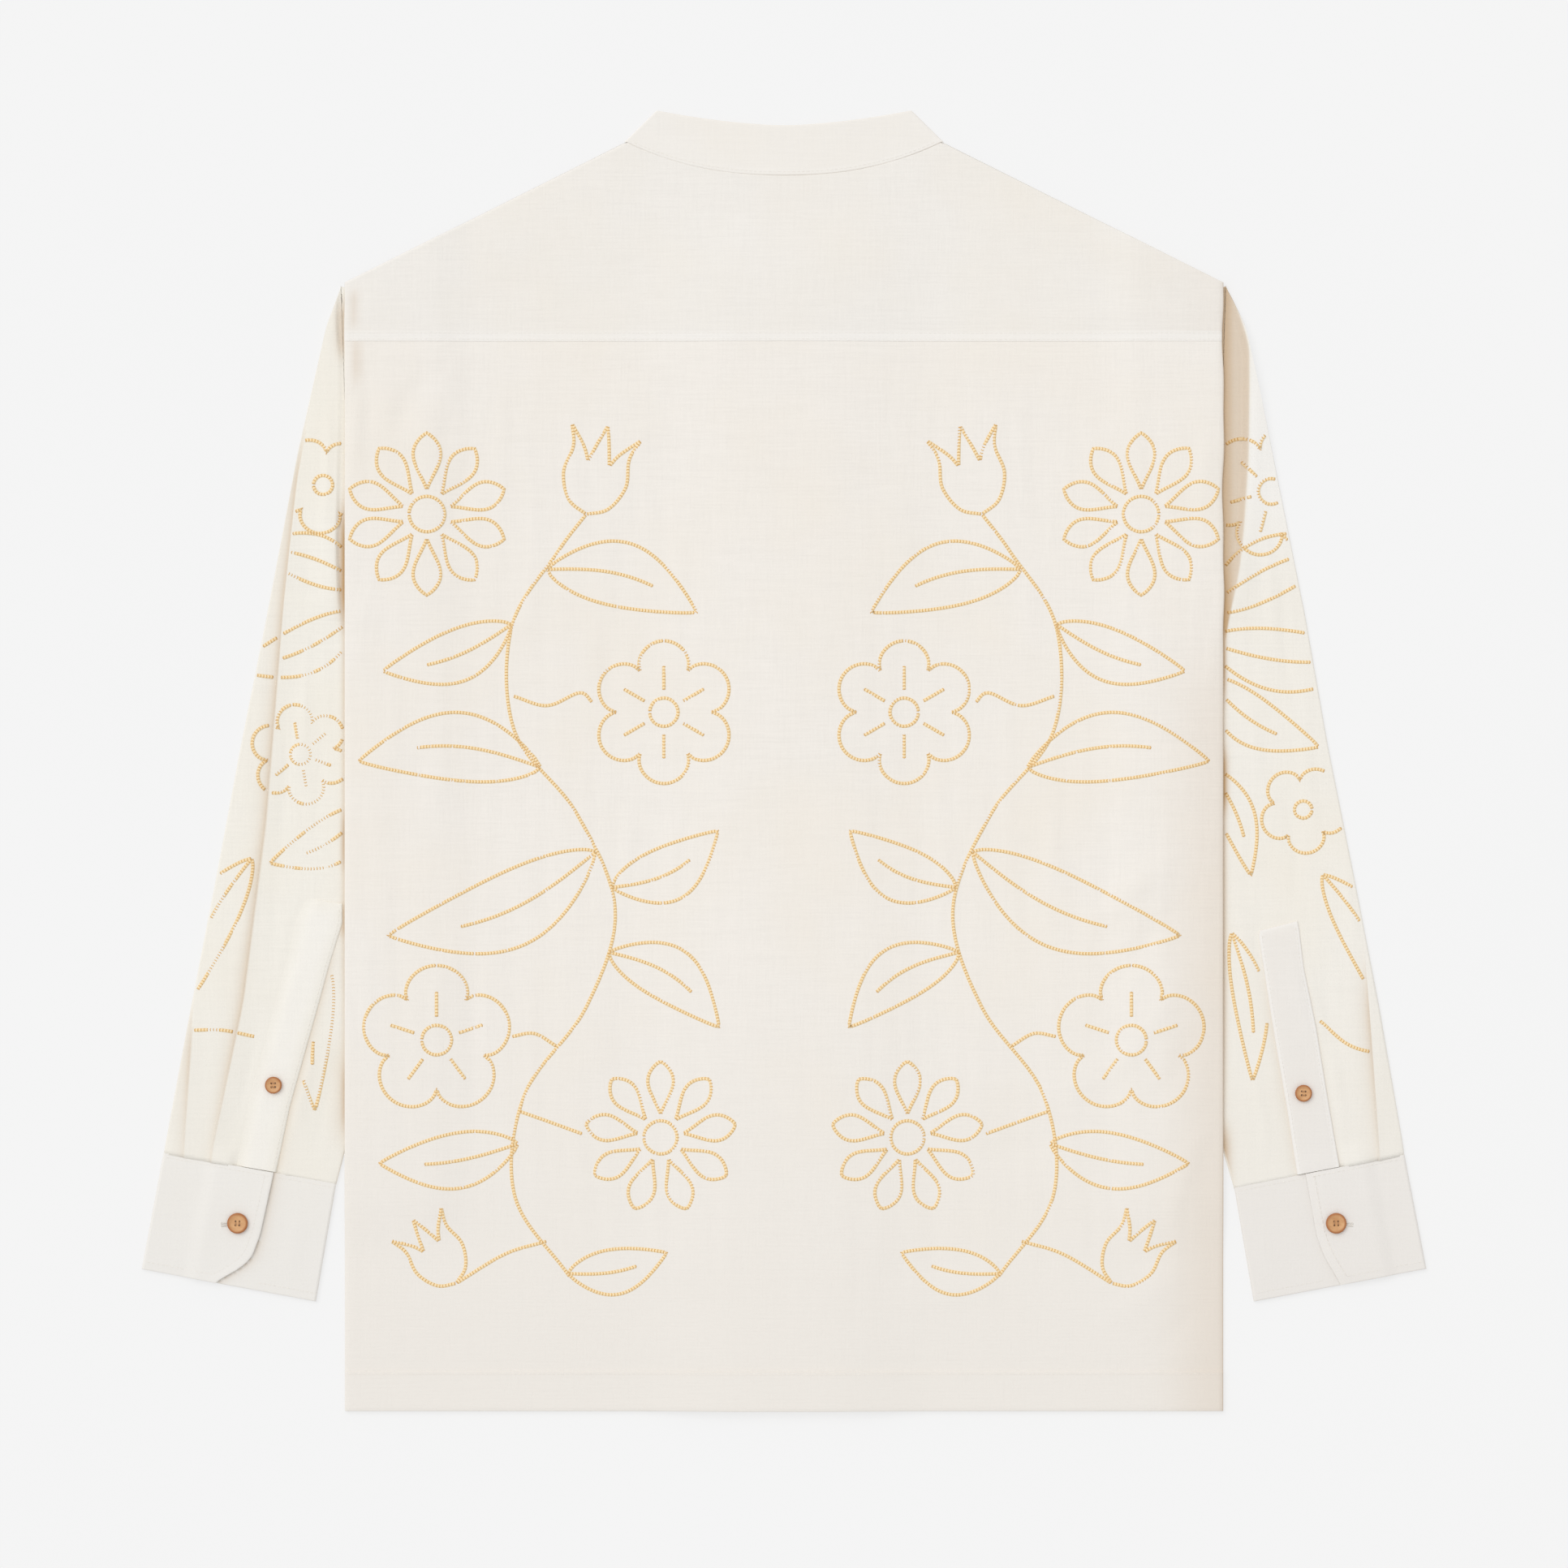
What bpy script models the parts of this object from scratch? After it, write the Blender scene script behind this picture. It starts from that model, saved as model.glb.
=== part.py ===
"""Linen shirt with a band collar, lying flat on its front with its back up and its sleeves at its sides.

X runs across the shirt to the wearer's right, Y up to the collar and Z up from the table.
Sizes are in millimetres, and each mesh is turned into metres where it is made.
"""

import math

import bmesh
import bpy

MM = 0.001

# Thickness of the cloth, and the space left between pieces that are sewn together
WALL = 1.0
HEM_WALL = 1.6
YOKE_BAND_WALL = 1.5
COLLAR_WALL = 1.5
CUFF_WALL = 1.3
PLACKET_WALL = 1.2
GAP = 0.3
TUBE_HEIGHT = 2 * WALL + GAP

# Outline of the body, which is the same for back and front apart from the neckline
BODY_HALF = 270.75
HEM_Y = -400.75
HEM_DEPTH = 24.5
YOKE_Y = 258.25
YOKE_BAND = 6.0
SHOULDER_Y = 294.75
NECK_HALF = 97.0
NECK_Y = 381.75
BACK_NECK_DROP = 20.5
FRONT_NECK_DROP = 85.0
NECK_CURVE = 2.3
SHOULDER_SLOPE = (NECK_Y - SHOULDER_Y) / (BODY_HALF - NECK_HALF)

# Band collar, folded at each side of the neck
COLLAR_TOP_HALF = 77.3
COLLAR_TOP_Y = 400.75
COLLAR_HEIGHT = 30.0
COLLAR_TOP_DIP = 9.0
COLLAR_TOP_CURVE = 1.65
COLLAR_SEAM_GAP = 0.45
COLLAR_END = 1.5
COLLAR_FOLD_OUT = 1.016
COLLAR_FOLD_IN = 1.004

# Front closing: the left front lies outside the right one, and its buttons lie on the table
FRONT_OVERLAP = 17.5
CLOSING_FLAT = 22.0
FRONT_SETTLES = 60.0
BACK_SETTLES = 97.0
FRONT_BUTTON_HEIGHT = 2.0
FRONT_BUTTON_DIAMETER = 11.0
FRONT_BUTTON_FIRST_Y = 270.0
FRONT_BUTTON_PITCH = 90.0
FRONT_BUTTONS = 7

# Inside the neckline the yoke sinks onto the front of the collar
NECK_SINK = 0.72
NECK_SINK_Y = 297.0
NECK_SINK_LENGTH = 45.0

# The body climbs onto the sleeves that are tucked under its sides
CLIMB_START = 190.0
CLIMB_WIDTH = 30.0
CLIMB_LOW_Y = -311.0
CLIMB_LENGTH = 45.0

# Lines across and along the body that carry its points
HALF_COLUMNS = (0.0, FRONT_OVERLAP, CLOSING_FLAT, 40.0, 60.0, 77.0, 89.0, NECK_HALF,
                140.0, 190.0, 205.0, 220.0, 245.0, BODY_HALF)
YOKE_NECK_COLUMNS = (9.0, 31.0, 50.0, 69.0)
HEM_TOP = HEM_Y + HEM_DEPTH
HEM_STEP = 0.5
BODY_ROWS = (HEM_Y, HEM_TOP - HEM_STEP, HEM_TOP + HEM_STEP, -340.0, -311.0, -288.0, -266.0,
             -190.0, -110.0, -30.0, 50.0, 130.0, 200.0, YOKE_Y)
FRONT_TOP_SHARES = (1 / 3, 2 / 3, 1.0)
YOKE_SHARES = (0.35, 0.7, 1.0)

# Sleeves: a flat tube each, whose armhole is tucked under the side of the body
ARMHOLE_TUCK = 6.0
ARMHOLE_TOP_Y = 290.5
ARMHOLE_LOW_Y = 44.0
FOLD_INSET = 1.2
FOLD_INSET_INSIDE = 1.7
PLEAT_HALF_STEP = 0.4
PLEAT_WIDTH = 14.0
PLEAT_FALL = 1.5
PLEAT_SEARCH_STEPS = 40
RIDGE_START = 1.5
RIDGE_OUTER_WIDTH = 14.0
RIDGE_WALL_SHARE = 0.15
INNER_COLUMNS = 7
PLEAT_COLUMNS = 2
LOWER_SHARES = (0.75, 0.5, 0.25)

# Outer edge of each sleeve: height on the shirt, then distance from its middle on each side
SLEEVE_EDGE = (
    # y, left, right
    (293.75, 272.5, 271.25),
    (288.75, 274.5, 274.5),
    (278.75, 278.0, 279.5),
    (268.75, 282.0, 284.5),
    (248.75, 286.5, 289.0),
    (228.75, 291.0, 293.5),
    (188.75, 300.0, 301.5),
    (148.75, 307.5, 309.5),
    (88.75, 319.0, 321.5),
    (8.75, 335.0, 335.5),
    (-71.25, 350.0, 351.5),
    (-151.25, 365.5, 367.0),
    (-231.25, 380.5, 380.8),
    (-242.0, 382.5, 382.5),
)

# Lines across a sleeve, from its outer edge to its underarm edge, which the body hides
SLEEVE_LINES = (
    # outer y, inner x, inner y
    (293.0, 272.0, 50.0),
    (286.0, 272.0, 49.0),
    (278.0, 272.0, 48.0),
    (268.0, 272.0, 47.0),
    (257.0, 272.0, 46.0),
    (244.0, 272.0, 45.0),
    (230.0, 271.0, 44.0),
    (214.0, 268.0, 42.5),
    (196.0, 262.0, 39.0),
    (174.0, 252.0, 29.0),
    (148.0, 240.0, 11.0),
    (118.0, 232.0, -16.0),
    (82.0, 229.0, -47.0),
    (42.0, 231.0, -80.0),
    (0.0, 237.0, -112.0),
    (-45.0, 245.0, -145.0),
    (-90.0, 253.0, -176.0),
    (-135.0, 261.0, -206.0),
    (-180.0, 268.0, -233.0),
    (-214.0, 273.0, -249.0),
)

# Pleats above the cuffs. The raised side lies nearer the body on the left, away from it on the right
PLEAT_RAISED_SIDE = {"left": 1.0, "right": -1.0}
PLEATS = {
    "left": (
        (
            # y, distance from the middle, height
            (218.0, 292.5, 0.0),
            (174.0, 300.5, 0.7),
            (96.0, 309.0, 1.2),
            (-39.0, 320.0, 1.3),
            (-149.0, 334.0, 1.4),
            (-243.0, 353.5, 1.6),
        ),
        (
            (-138.0, 363.5, 0.0),
            (-180.0, 366.5, 0.8),
            (-243.0, 370.5, 1.2),
        ),
    ),
    "right": (
        (
            (-110.0, 357.0, 0.0),
            (-150.0, 360.0, 0.9),
            (-243.0, 366.5, 1.6),
        ),
    ),
}

# Folds of the sleeves beside the body: a valley at its edge, then a ridge
RIDGES = {
    "left": (
        # y, distance from the body's edge, height
        (294.0, 4.0, 0.0),
        (282.0, 6.0, 1.6),
        (266.0, 6.3, 2.0),
        (247.0, 4.0, 0.8),
        (218.0, 4.5, 0.4),
        (168.0, 5.5, 1.4),
        (128.0, 6.2, 2.6),
        (95.0, 4.5, 1.6),
        (80.0, 3.0, 0.0),
    ),
    "right": (
        (294.0, 2.5, 0.0),
        (278.0, 9.0, 2.0),
        (256.0, 16.0, 3.8),
        (228.0, 16.0, 4.2),
        (188.0, 15.5, 4.2),
        (148.0, 12.0, 3.4),
        (118.0, 7.0, 1.8),
        (88.0, 3.0, 0.0),
    ),
}

# Cuffs: corners, each as distance from the middle and height on the shirt
CUFF_CORNERS = {
    # seam at the inner edge, seam at the outer edge, end at the inner edge, end at the outer edge
    "left": ((276.0, -260.5), (382.5, -241.5), (288.5, -333.25), (396.0, -313.25)),
    "right": ((277.5, -263.0), (382.5, -242.5), (289.5, -333.25), (396.0, -313.0)),
}
CUFF_DEPTH = 73.0
CUFF_WIDTH = 108.0
CUFF_FREE_END = {"left": 0.36, "right": 0.43}
CUFF_OVERLAP = 0.29
CUFF_CORNER_RADIUS = 23.0
CUFF_STEPS = (0.0, 0.35, 0.68, 0.78, 0.86, 0.92, 0.97, 1.0)
CUFF_STEP_NEAR = 0.02
CUFF_STEP_FAR = 0.12

# Sleeve plackets: lines across each, from the edge nearer the body to the other one
PLACKETS = {
    "left": (
        # inner x, inner y, outer x, outer y
        (272.2, -88.0, 293.5, -84.5),
        (272.2, -94.0, 297.5, -92.5),
        (272.2, -100.25, 301.0, -99.5),
        (280.0, -125.0, 305.0, -119.0),
        (288.5, -156.0, 313.5, -150.0),
        (304.5, -213.0, 329.0, -207.0),
        (312.8, -252.6, 337.0, -248.5),
    ),
    "right": (
        (293.0, -104.5, 316.5, -98.5),
        (292.5, -108.75, 317.5, -103.0),
        (296.5, -134.25, 320.5, -128.0),
        (302.0, -168.75, 328.0, -164.0),
        (310.5, -217.75, 336.0, -213.0),
        (316.0, -254.2, 342.2, -249.2),
    ),
}

# Buttons: turned discs with four holes
BUTTON_SEGMENTS = 16
HOLE_SEGMENTS = 6
HOLE_RADIUS = 0.9
HOLE_OFFSET = 1.35
CUFF_BUTTON_DIAMETER = 12.7
CUFF_BUTTON_HEIGHT = 2.4
PLACKET_BUTTON_DIAMETER = 10.4
PLACKET_BUTTON_HEIGHT = 2.2
MERGE_DISTANCE = 0.01
SHARP_ANGLE = 35.0
CUFF_BUTTONS = {"left": (336.5, -284.75), "right": (340.0, -284.75)}
PLACKET_BUTTONS = {"left": (314.5, -199.75), "right": (320.0, -204.75)}

SIGN = {"left": -1.0, "right": 1.0}

LINEN = (0.86, 0.83, 0.78)
LINEN_PRESSED = (0.83, 0.80, 0.75)
HORN = (0.50, 0.30, 0.17)
LINEN_ROUGHNESS = 0.85
HORN_ROUGHNESS = 0.4


def clear_scene():
    for obj in list(bpy.data.objects):
        bpy.data.objects.remove(obj, do_unlink=True)


def material(name, colour, roughness):
    made = bpy.data.materials.new(name)
    made.use_nodes = True
    shader = made.node_tree.nodes["Principled BSDF"]
    shader.inputs["Base Color"].default_value = (*colour, 1.0)
    shader.inputs["Roughness"].default_value = roughness
    shader.inputs["Metallic"].default_value = 0.0
    return made


def smooth(t):
    """A soft step from 0 to 1."""
    t = min(max(t, 0.0), 1.0)
    return t * t * (3 - 2 * t)


def read(table, y, column):
    """A table's column at height y. The first column is y, from the top down."""
    if y >= table[0][0]:
        return table[0][column]
    for above, below in zip(table, table[1:]):
        if y >= below[0]:
            share = (above[0] - y) / (above[0] - below[0])
            return above[column] + share * (below[column] - above[column])
    return table[-1][column]


def add_object(name, mesh, look):
    mesh.materials.append(look)
    obj = bpy.data.objects.new(name, mesh)
    bpy.context.scene.collection.objects.link(obj)
    return obj


def cloth(name, outside, inside, look, tube=False):
    """A sheet of cloth as a closed solid, from rows of points on its two faces."""
    mesh = bpy.data.meshes.new(name)
    bm = bmesh.new()
    out = [[bm.verts.new([c * MM for c in point]) for point in row] for row in outside]
    inn = [[bm.verts.new([c * MM for c in point]) for point in row] for row in inside]
    columns = len(outside[0])
    spans = [(j, (j + 1) % columns) for j in range(columns if tube else columns - 1)]
    for i in range(len(out) - 1):
        for j, k in spans:
            bm.faces.new((out[i][j], out[i][k], out[i + 1][k], out[i + 1][j]))
            bm.faces.new((inn[i][j], inn[i + 1][j], inn[i + 1][k], inn[i][k]))
        if not tube:
            bm.faces.new((out[i][0], out[i + 1][0], inn[i + 1][0], inn[i][0]))
            bm.faces.new((out[i][-1], inn[i][-1], inn[i + 1][-1], out[i + 1][-1]))
    for j, k in spans:
        bm.faces.new((out[0][j], inn[0][j], inn[0][k], out[0][k]))
        bm.faces.new((out[-1][j], out[-1][k], inn[-1][k], inn[-1][j]))
    bmesh.ops.recalc_face_normals(bm, faces=bm.faces)
    bm.to_mesh(mesh)
    bm.free()
    return add_object(name, mesh, look)


def panel(name, rows, base, wall, look):
    """A flat piece whose rows of (x, y) lie at the height base(x, y), wall(y) thick."""
    under = [[(x, y, base(x, y)) for x, y in row] for row in rows]
    over = [[(x, y, base(x, y) + wall(y)) for x, y in row] for row in rows]
    return cloth(name, over, under, look)


def body_wall(y):
    return HEM_WALL if y < HEM_TOP else WALL


def yoke_wall(y):
    return YOKE_BAND_WALL if y < YOKE_Y + YOKE_BAND + GAP + HEM_STEP else WALL


def side_lift(x, y):
    """How high the sleeves lift the sides of the body."""
    across = smooth((abs(x) - CLIMB_START) / CLIMB_WIDTH)
    along = smooth((y - CLIMB_LOW_Y) / CLIMB_LENGTH)
    return (TUBE_HEIGHT + GAP) * across * along


def closing(x, settles):
    """1 over the front closing, down to 0 where the cloth has settled beside it."""
    return smooth((settles - abs(x)) / (settles - CLOSING_FLAT))


def left_front_base(x, y):
    return side_lift(x, y) + (FRONT_BUTTON_HEIGHT + GAP) * closing(x, FRONT_SETTLES)


def right_front_base(x, y):
    rise = FRONT_BUTTON_HEIGHT + 2 * GAP + body_wall(y)
    return side_lift(x, y) + rise * closing(x, FRONT_SETTLES)


def back_base(x, y):
    rise = FRONT_BUTTON_HEIGHT + 2 * GAP + body_wall(y)
    rise *= 1 - NECK_SINK * smooth((y - NECK_SINK_Y) / NECK_SINK_LENGTH)
    return side_lift(x, y) + body_wall(y) + GAP + rise * closing(x, BACK_SETTLES)


def outline_top(x, neck_drop):
    """The shoulder line, or the neckline between the neck points."""
    if abs(x) >= NECK_HALF:
        return NECK_Y - (abs(x) - NECK_HALF) * SHOULDER_SLOPE
    return NECK_Y - neck_drop * (1 - (abs(x) / NECK_HALF) ** NECK_CURVE)


def columns(start, end, extra=()):
    halves = set(HALF_COLUMNS) | set(extra)
    every = sorted(halves | {-x for x in halves})
    return [x for x in every if start <= x <= end]


def back_panel(look):
    xs = columns(-BODY_HALF, BODY_HALF)
    rows = [[(x, y) for x in xs] for y in BODY_ROWS]
    panel("back_panel", rows, back_base, body_wall, look)


def back_yoke(look):
    xs = columns(-BODY_HALF, BODY_HALF, YOKE_NECK_COLUMNS)
    low = YOKE_Y + GAP
    rows = [[(x, y) for x in xs] for y in (low, low + YOKE_BAND, low + YOKE_BAND + 2 * HEM_STEP)]
    start = rows[-1][0][1]
    for share in YOKE_SHARES:
        rows.append([(x, start + share * (outline_top(x, BACK_NECK_DROP) - start)) for x in xs])
    panel("back_yoke", rows, back_base, yoke_wall, look)


def front(name, start, end, base, look):
    xs = columns(start, end)
    rows = [[(x, y) for x in xs] for y in BODY_ROWS]
    for share in FRONT_TOP_SHARES:
        top = [YOKE_Y + share * (outline_top(x, FRONT_NECK_DROP) - YOKE_Y) for x in xs]
        rows.append(list(zip(xs, top)))
    panel(name, rows, base, body_wall, look)


def collar_line(w, neck_drop, top_dip):
    """Seam point and top point of the collar at w, which runs from -1 to 1 between its folds."""
    inner = min(abs(w), 1.0)
    rise = 1 - inner**NECK_CURVE
    seam = (NECK_HALF * w, NECK_Y - neck_drop * rise + COLLAR_SEAM_GAP)
    top = (COLLAR_TOP_HALF * w, COLLAR_TOP_Y - top_dip * (1 - inner ** COLLAR_TOP_CURVE))
    return seam, top


def collar_band(look):
    """The collar goes from its right end round the back of the neck to its left end.

    Its ends meet edge to edge at the middle of the front, where its upper edge lies on the table.
    """
    front_dip = COLLAR_TOP_Y - (NECK_Y - FRONT_NECK_DROP + COLLAR_HEIGHT)
    outside, inside = [], []

    def add(w_out, w_in, drop, dip, height_out, height_in):
        outside.append([(x, y, height_out(x, y)) for x, y in collar_line(w_out, drop, dip)])
        inside.append([(x, y, height_in(x, y)) for x, y in collar_line(w_in, drop, dip)])

    def add_front(ws, base):
        for w in ws:
            (seam_x, seam_y), (top_x, top_y) = collar_line(w, FRONT_NECK_DROP, front_dip)
            seam_z = base(seam_x, seam_y)
            outside.append([(seam_x, seam_y, seam_z), (top_x, top_y, 0.0)])
            inside.append([(seam_x, seam_y, seam_z + WALL), (top_x, top_y, WALL)])

    def add_fold(side):
        middle = (COLLAR_WALL + 2 * WALL) / 2
        add(side * COLLAR_FOLD_OUT, side * COLLAR_FOLD_IN, BACK_NECK_DROP, COLLAR_TOP_DIP,
            lambda x, y: middle - GAP, lambda x, y: WALL + GAP / 2)

    front_steps = [x / NECK_HALF for x in (COLLAR_END, *columns(FRONT_OVERLAP, NECK_HALF))]
    back_steps = [x / NECK_HALF for x in columns(-NECK_HALF, NECK_HALF, YOKE_NECK_COLUMNS)]
    add_front(front_steps, right_front_base)
    add_fold(1)
    for w in reversed(back_steps):
        add(w, w, BACK_NECK_DROP, COLLAR_TOP_DIP,
            lambda x, y: back_base(x, y) + COLLAR_WALL, back_base)
    add_fold(-1)
    add_front([-w for w in reversed(front_steps)], left_front_base)
    cloth("collar_band", outside, inside, look)


def ridge_height(side, x, y):
    """Height of the fold of the sleeve that stands beside the edge of the body."""
    away = abs(x) - BODY_HALF
    crest = read(RIDGES[side], y, 1)
    height = read(RIDGES[side], y, 2)
    if away < crest:
        return height * smooth((away - RIDGE_START) / (crest - RIDGE_START))
    return height * math.exp(-(((away - crest) / RIDGE_OUTER_WIDTH) ** 2))


def edge_x(side, y):
    return read(SLEEVE_EDGE, y, 1 if side == "left" else 2)


def pleat_x(side, pleat, y):
    """Where a pleat's line lies. Above its start it runs on beside the sleeve's edge."""
    top = pleat[0][0]
    if y > top:
        return pleat[0][1] + edge_x(side, y) - edge_x(side, top)
    return read(pleat, y, 1)


def pleat_height(side, x, y):
    height = 0.0
    for pleat in PLEATS[side]:
        away = PLEAT_RAISED_SIDE[side] * (pleat_x(side, pleat, y) - abs(x))
        if 0 < away < PLEAT_WIDTH and y <= pleat[0][0]:
            height += read(pleat, y, 2) * (1 - away / PLEAT_WIDTH) ** PLEAT_FALL
    return height


def along(start, end, distance):
    length = math.dist(start, end)
    return tuple(a + (b - a) * distance / length for a, b in zip(start, end))


def pleat_distance(side, pleat, inner, outer):
    """How far along a sleeve's line, from its inner end, the pleat crosses it."""
    low, high = 0.0, math.dist(inner, outer)
    for _ in range(PLEAT_SEARCH_STEPS):
        middle = (low + high) / 2
        x, y = along(inner, outer, middle)
        if abs(x) < pleat_x(side, pleat, y):
            low = middle
        else:
            high = middle
    return low


def sleeve_columns(side, inner, outer):
    """Distances along a sleeve's line of the points on its upper layer."""
    length = math.dist(inner, outer)
    room = 4 * FOLD_INSET
    stops = []
    pleats = PLEATS[side]
    for number, pleat in enumerate(pleats):
        most = length - room * (len(pleats) - number)
        stops.append(min(pleat_distance(side, pleat, inner, outer), most))
    distances = []
    start, count = FOLD_INSET, INNER_COLUMNS
    for stop in stops:
        end = stop - PLEAT_HALF_STEP
        distances += [start + (end - start) * i / count for i in range(count + 1)]
        start, count = stop + PLEAT_HALF_STEP, PLEAT_COLUMNS
    end = length - FOLD_INSET
    return distances + [start + (end - start) * i / count for i in range(count + 1)]


def sleeve_lines(side):
    sign = SIGN[side]
    tucked = sign * (BODY_HALF - ARMHOLE_TUCK)
    lines = [((tucked, ARMHOLE_LOW_Y), (tucked, ARMHOLE_TOP_Y))]
    for outer_y, inner_x, inner_y in SLEEVE_LINES:
        lines.append(((sign * inner_x, inner_y), (sign * edge_x(side, outer_y), outer_y)))
    seam_inner, seam_outer = CUFF_CORNERS[side][:2]
    lines.append(
        ((sign * seam_inner[0], seam_inner[1] + GAP), (sign * seam_outer[0], seam_outer[1] + GAP))
    )
    return lines


def sleeve(side, look):
    """A flat tube with a fold at each edge, open at the armhole and at the cuff."""
    outside, inside = [], []
    for inner, outer in sleeve_lines(side):
        length = math.dist(inner, outer)
        middle = TUBE_HEIGHT / 2
        loop_out = [(*inner, middle)]
        loop_in = [(*along(inner, outer, WALL), middle)]
        distances = sleeve_columns(side, inner, outer)
        for distance in distances:
            x, y = along(inner, outer, distance)
            ridge = ridge_height(side, x, y)
            top = TUBE_HEIGHT + ridge + pleat_height(side, x, y)
            loop_out.append((x, y, top))
            kept = min(max(distance, FOLD_INSET_INSIDE), length - FOLD_INSET_INSIDE)
            x, y = along(inner, outer, kept)
            loop_in.append((x, y, top - WALL - RIDGE_WALL_SHARE * ridge))
        loop_out.append((*outer, middle))
        loop_in.append((*along(inner, outer, length - WALL), middle))
        ends = (length - FOLD_INSET, *(length * share for share in LOWER_SHARES), FOLD_INSET)
        for distance in ends:
            loop_out.append((*along(inner, outer, distance), 0.0))
            kept = min(max(distance, FOLD_INSET_INSIDE), length - FOLD_INSET_INSIDE)
            loop_in.append((*along(inner, outer, kept), WALL))
        outside.append(loop_out)
        inside.append(loop_in)
    cloth("sleeve_" + side, outside, inside, look, tube=True)


def cuff_point(side, u, t):
    """A point of the cuff: u from its inner to its outer edge, t from its seam to its end."""
    seam_inner, seam_outer, end_inner, end_outer = CUFF_CORNERS[side]
    seam = [a + (b - a) * u for a, b in zip(seam_inner, seam_outer)]
    end = [a + (b - a) * u for a, b in zip(end_inner, end_outer)]
    x, y = (a + (b - a) * t for a, b in zip(seam, end))
    return SIGN[side] * x, y


def cuff_path(free, under):
    """The cuff across its width, from its under end round both folds to its free end.

    Each point is the place and height of the outer face, then of the inner face.
    """
    low, middle = CUFF_WALL, CUFF_WALL + GAP / 2
    first, second = CUFF_WALL + GAP, 2 * (CUFF_WALL + GAP)
    bend_out = FOLD_INSET / CUFF_WIDTH
    bend_in = FOLD_INSET_INSIDE / CUFF_WIDTH
    wall = CUFF_WALL / CUFF_WIDTH
    near, far = under + CUFF_STEP_NEAR, under + CUFF_STEP_FAR
    half = (free + near) / 2
    return (
        (under, first + low, under, first),
        (under / 2, first + low, under / 2, first),
        (bend_out, first + low, bend_in, first),
        (0.0, middle, wall, middle),
        (bend_out, 0.0, bend_in, low),
        (0.5, 0.0, 0.5, low),
        (1 - bend_out, 0.0, 1 - bend_in, low),
        (1.0, middle, 1 - wall, middle),
        (1 - bend_out, first + low, 1 - bend_in, first),
        (far, first + low, far, first),
        (near, second + low, near, second),
        (half, second + low, half, second),
        (free, second + low, free, second),
    )


def cuff(side, look):
    outside, inside = [], []
    under = CUFF_FREE_END[side] + CUFF_OVERLAP
    for t in CUFF_STEPS:
        past = max(t * CUFF_DEPTH - (CUFF_DEPTH - CUFF_CORNER_RADIUS), 0.0)
        cut_back = CUFF_CORNER_RADIUS - math.sqrt(CUFF_CORNER_RADIUS**2 - past**2)
        free = CUFF_FREE_END[side] + cut_back / CUFF_WIDTH
        path = cuff_path(free, under)
        outside.append([(*cuff_point(side, u, t), z) for u, z, _, _ in path])
        inside.append([(*cuff_point(side, u, t), z) for _, _, u, z in path])
    cloth("cuff_" + side, outside, inside, look)


def sleeve_placket(side, look):
    """The strip over the slit of the sleeve, on the sleeve's upper layer."""
    sign = SIGN[side]
    rows = [
        [(sign * inner_x, inner_y), (sign * outer_x, outer_y)]
        for inner_x, inner_y, outer_x, outer_y in PLACKETS[side]
    ]
    panel("placket_" + side, rows, lambda x, y: TUBE_HEIGHT + GAP, lambda y: PLACKET_WALL, look)


def turned(name, profile, segments):
    """A mesh turned round Z from a profile of (radius, height) that starts and ends on the axis."""
    bm = bmesh.new()
    points = [bm.verts.new((radius, 0.0, height)) for radius, height in profile]
    edges = [bm.edges.new(pair) for pair in zip(points, points[1:])]
    bmesh.ops.spin(
        bm, geom=points + edges, cent=(0, 0, 0), axis=(0, 0, 1), angle=2 * math.pi, steps=segments
    )
    bmesh.ops.remove_doubles(bm, verts=bm.verts, dist=MERGE_DISTANCE * MM)
    bmesh.ops.recalc_face_normals(bm, faces=bm.faces)
    mesh = bpy.data.meshes.new(name)
    bm.to_mesh(mesh)
    bm.free()
    return mesh


def button_mesh(name, diameter, height):
    """A disc with a raised rim, a dished middle and four holes for the thread."""
    radius = diameter / 2 * MM
    high = height * MM
    profile = (
        (0.0, 0.0), (0.8 * radius, 0.0), (radius, 0.4 * high), (radius, 0.72 * high),
        (0.88 * radius, high), (0.72 * radius, high), (0.58 * radius, 0.74 * high), (0.0, 0.74 * high),
    )
    blank = bpy.data.objects.new(name + "_blank", turned(name, profile, BUTTON_SEGMENTS))
    bm = bmesh.new()
    for corner in range(4):
        angle = math.pi / 4 + corner * math.pi / 2
        hole = bmesh.ops.create_cone(
            bm, cap_ends=True, segments=HOLE_SEGMENTS, radius1=HOLE_RADIUS * MM,
            radius2=HOLE_RADIUS * MM, depth=3 * high,
        )
        reach = HOLE_OFFSET * math.sqrt(2) * MM
        shift = (reach * math.cos(angle), reach * math.sin(angle), 0.0)
        bmesh.ops.translate(bm, verts=hole["verts"], vec=shift)
    cutter_mesh = bpy.data.meshes.new(name + "_holes")
    bm.to_mesh(cutter_mesh)
    bm.free()
    cutter = bpy.data.objects.new(name + "_holes", cutter_mesh)
    for obj in (blank, cutter):
        bpy.context.scene.collection.objects.link(obj)
    cut = blank.modifiers.new("Holes", "BOOLEAN")
    cut.operation = "DIFFERENCE"
    cut.solver = "EXACT"
    cut.object = cutter
    graph = bpy.context.evaluated_depsgraph_get()
    made = bpy.data.meshes.new_from_object(blank.evaluated_get(graph))
    for obj in (blank, cutter):
        bpy.data.objects.remove(obj, do_unlink=True)
    return made


def place_button(name, mesh, x, y, z):
    obj = bpy.data.objects.new(name, mesh)
    obj.location = (x * MM, y * MM, z * MM)
    bpy.context.scene.collection.objects.link(obj)


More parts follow.
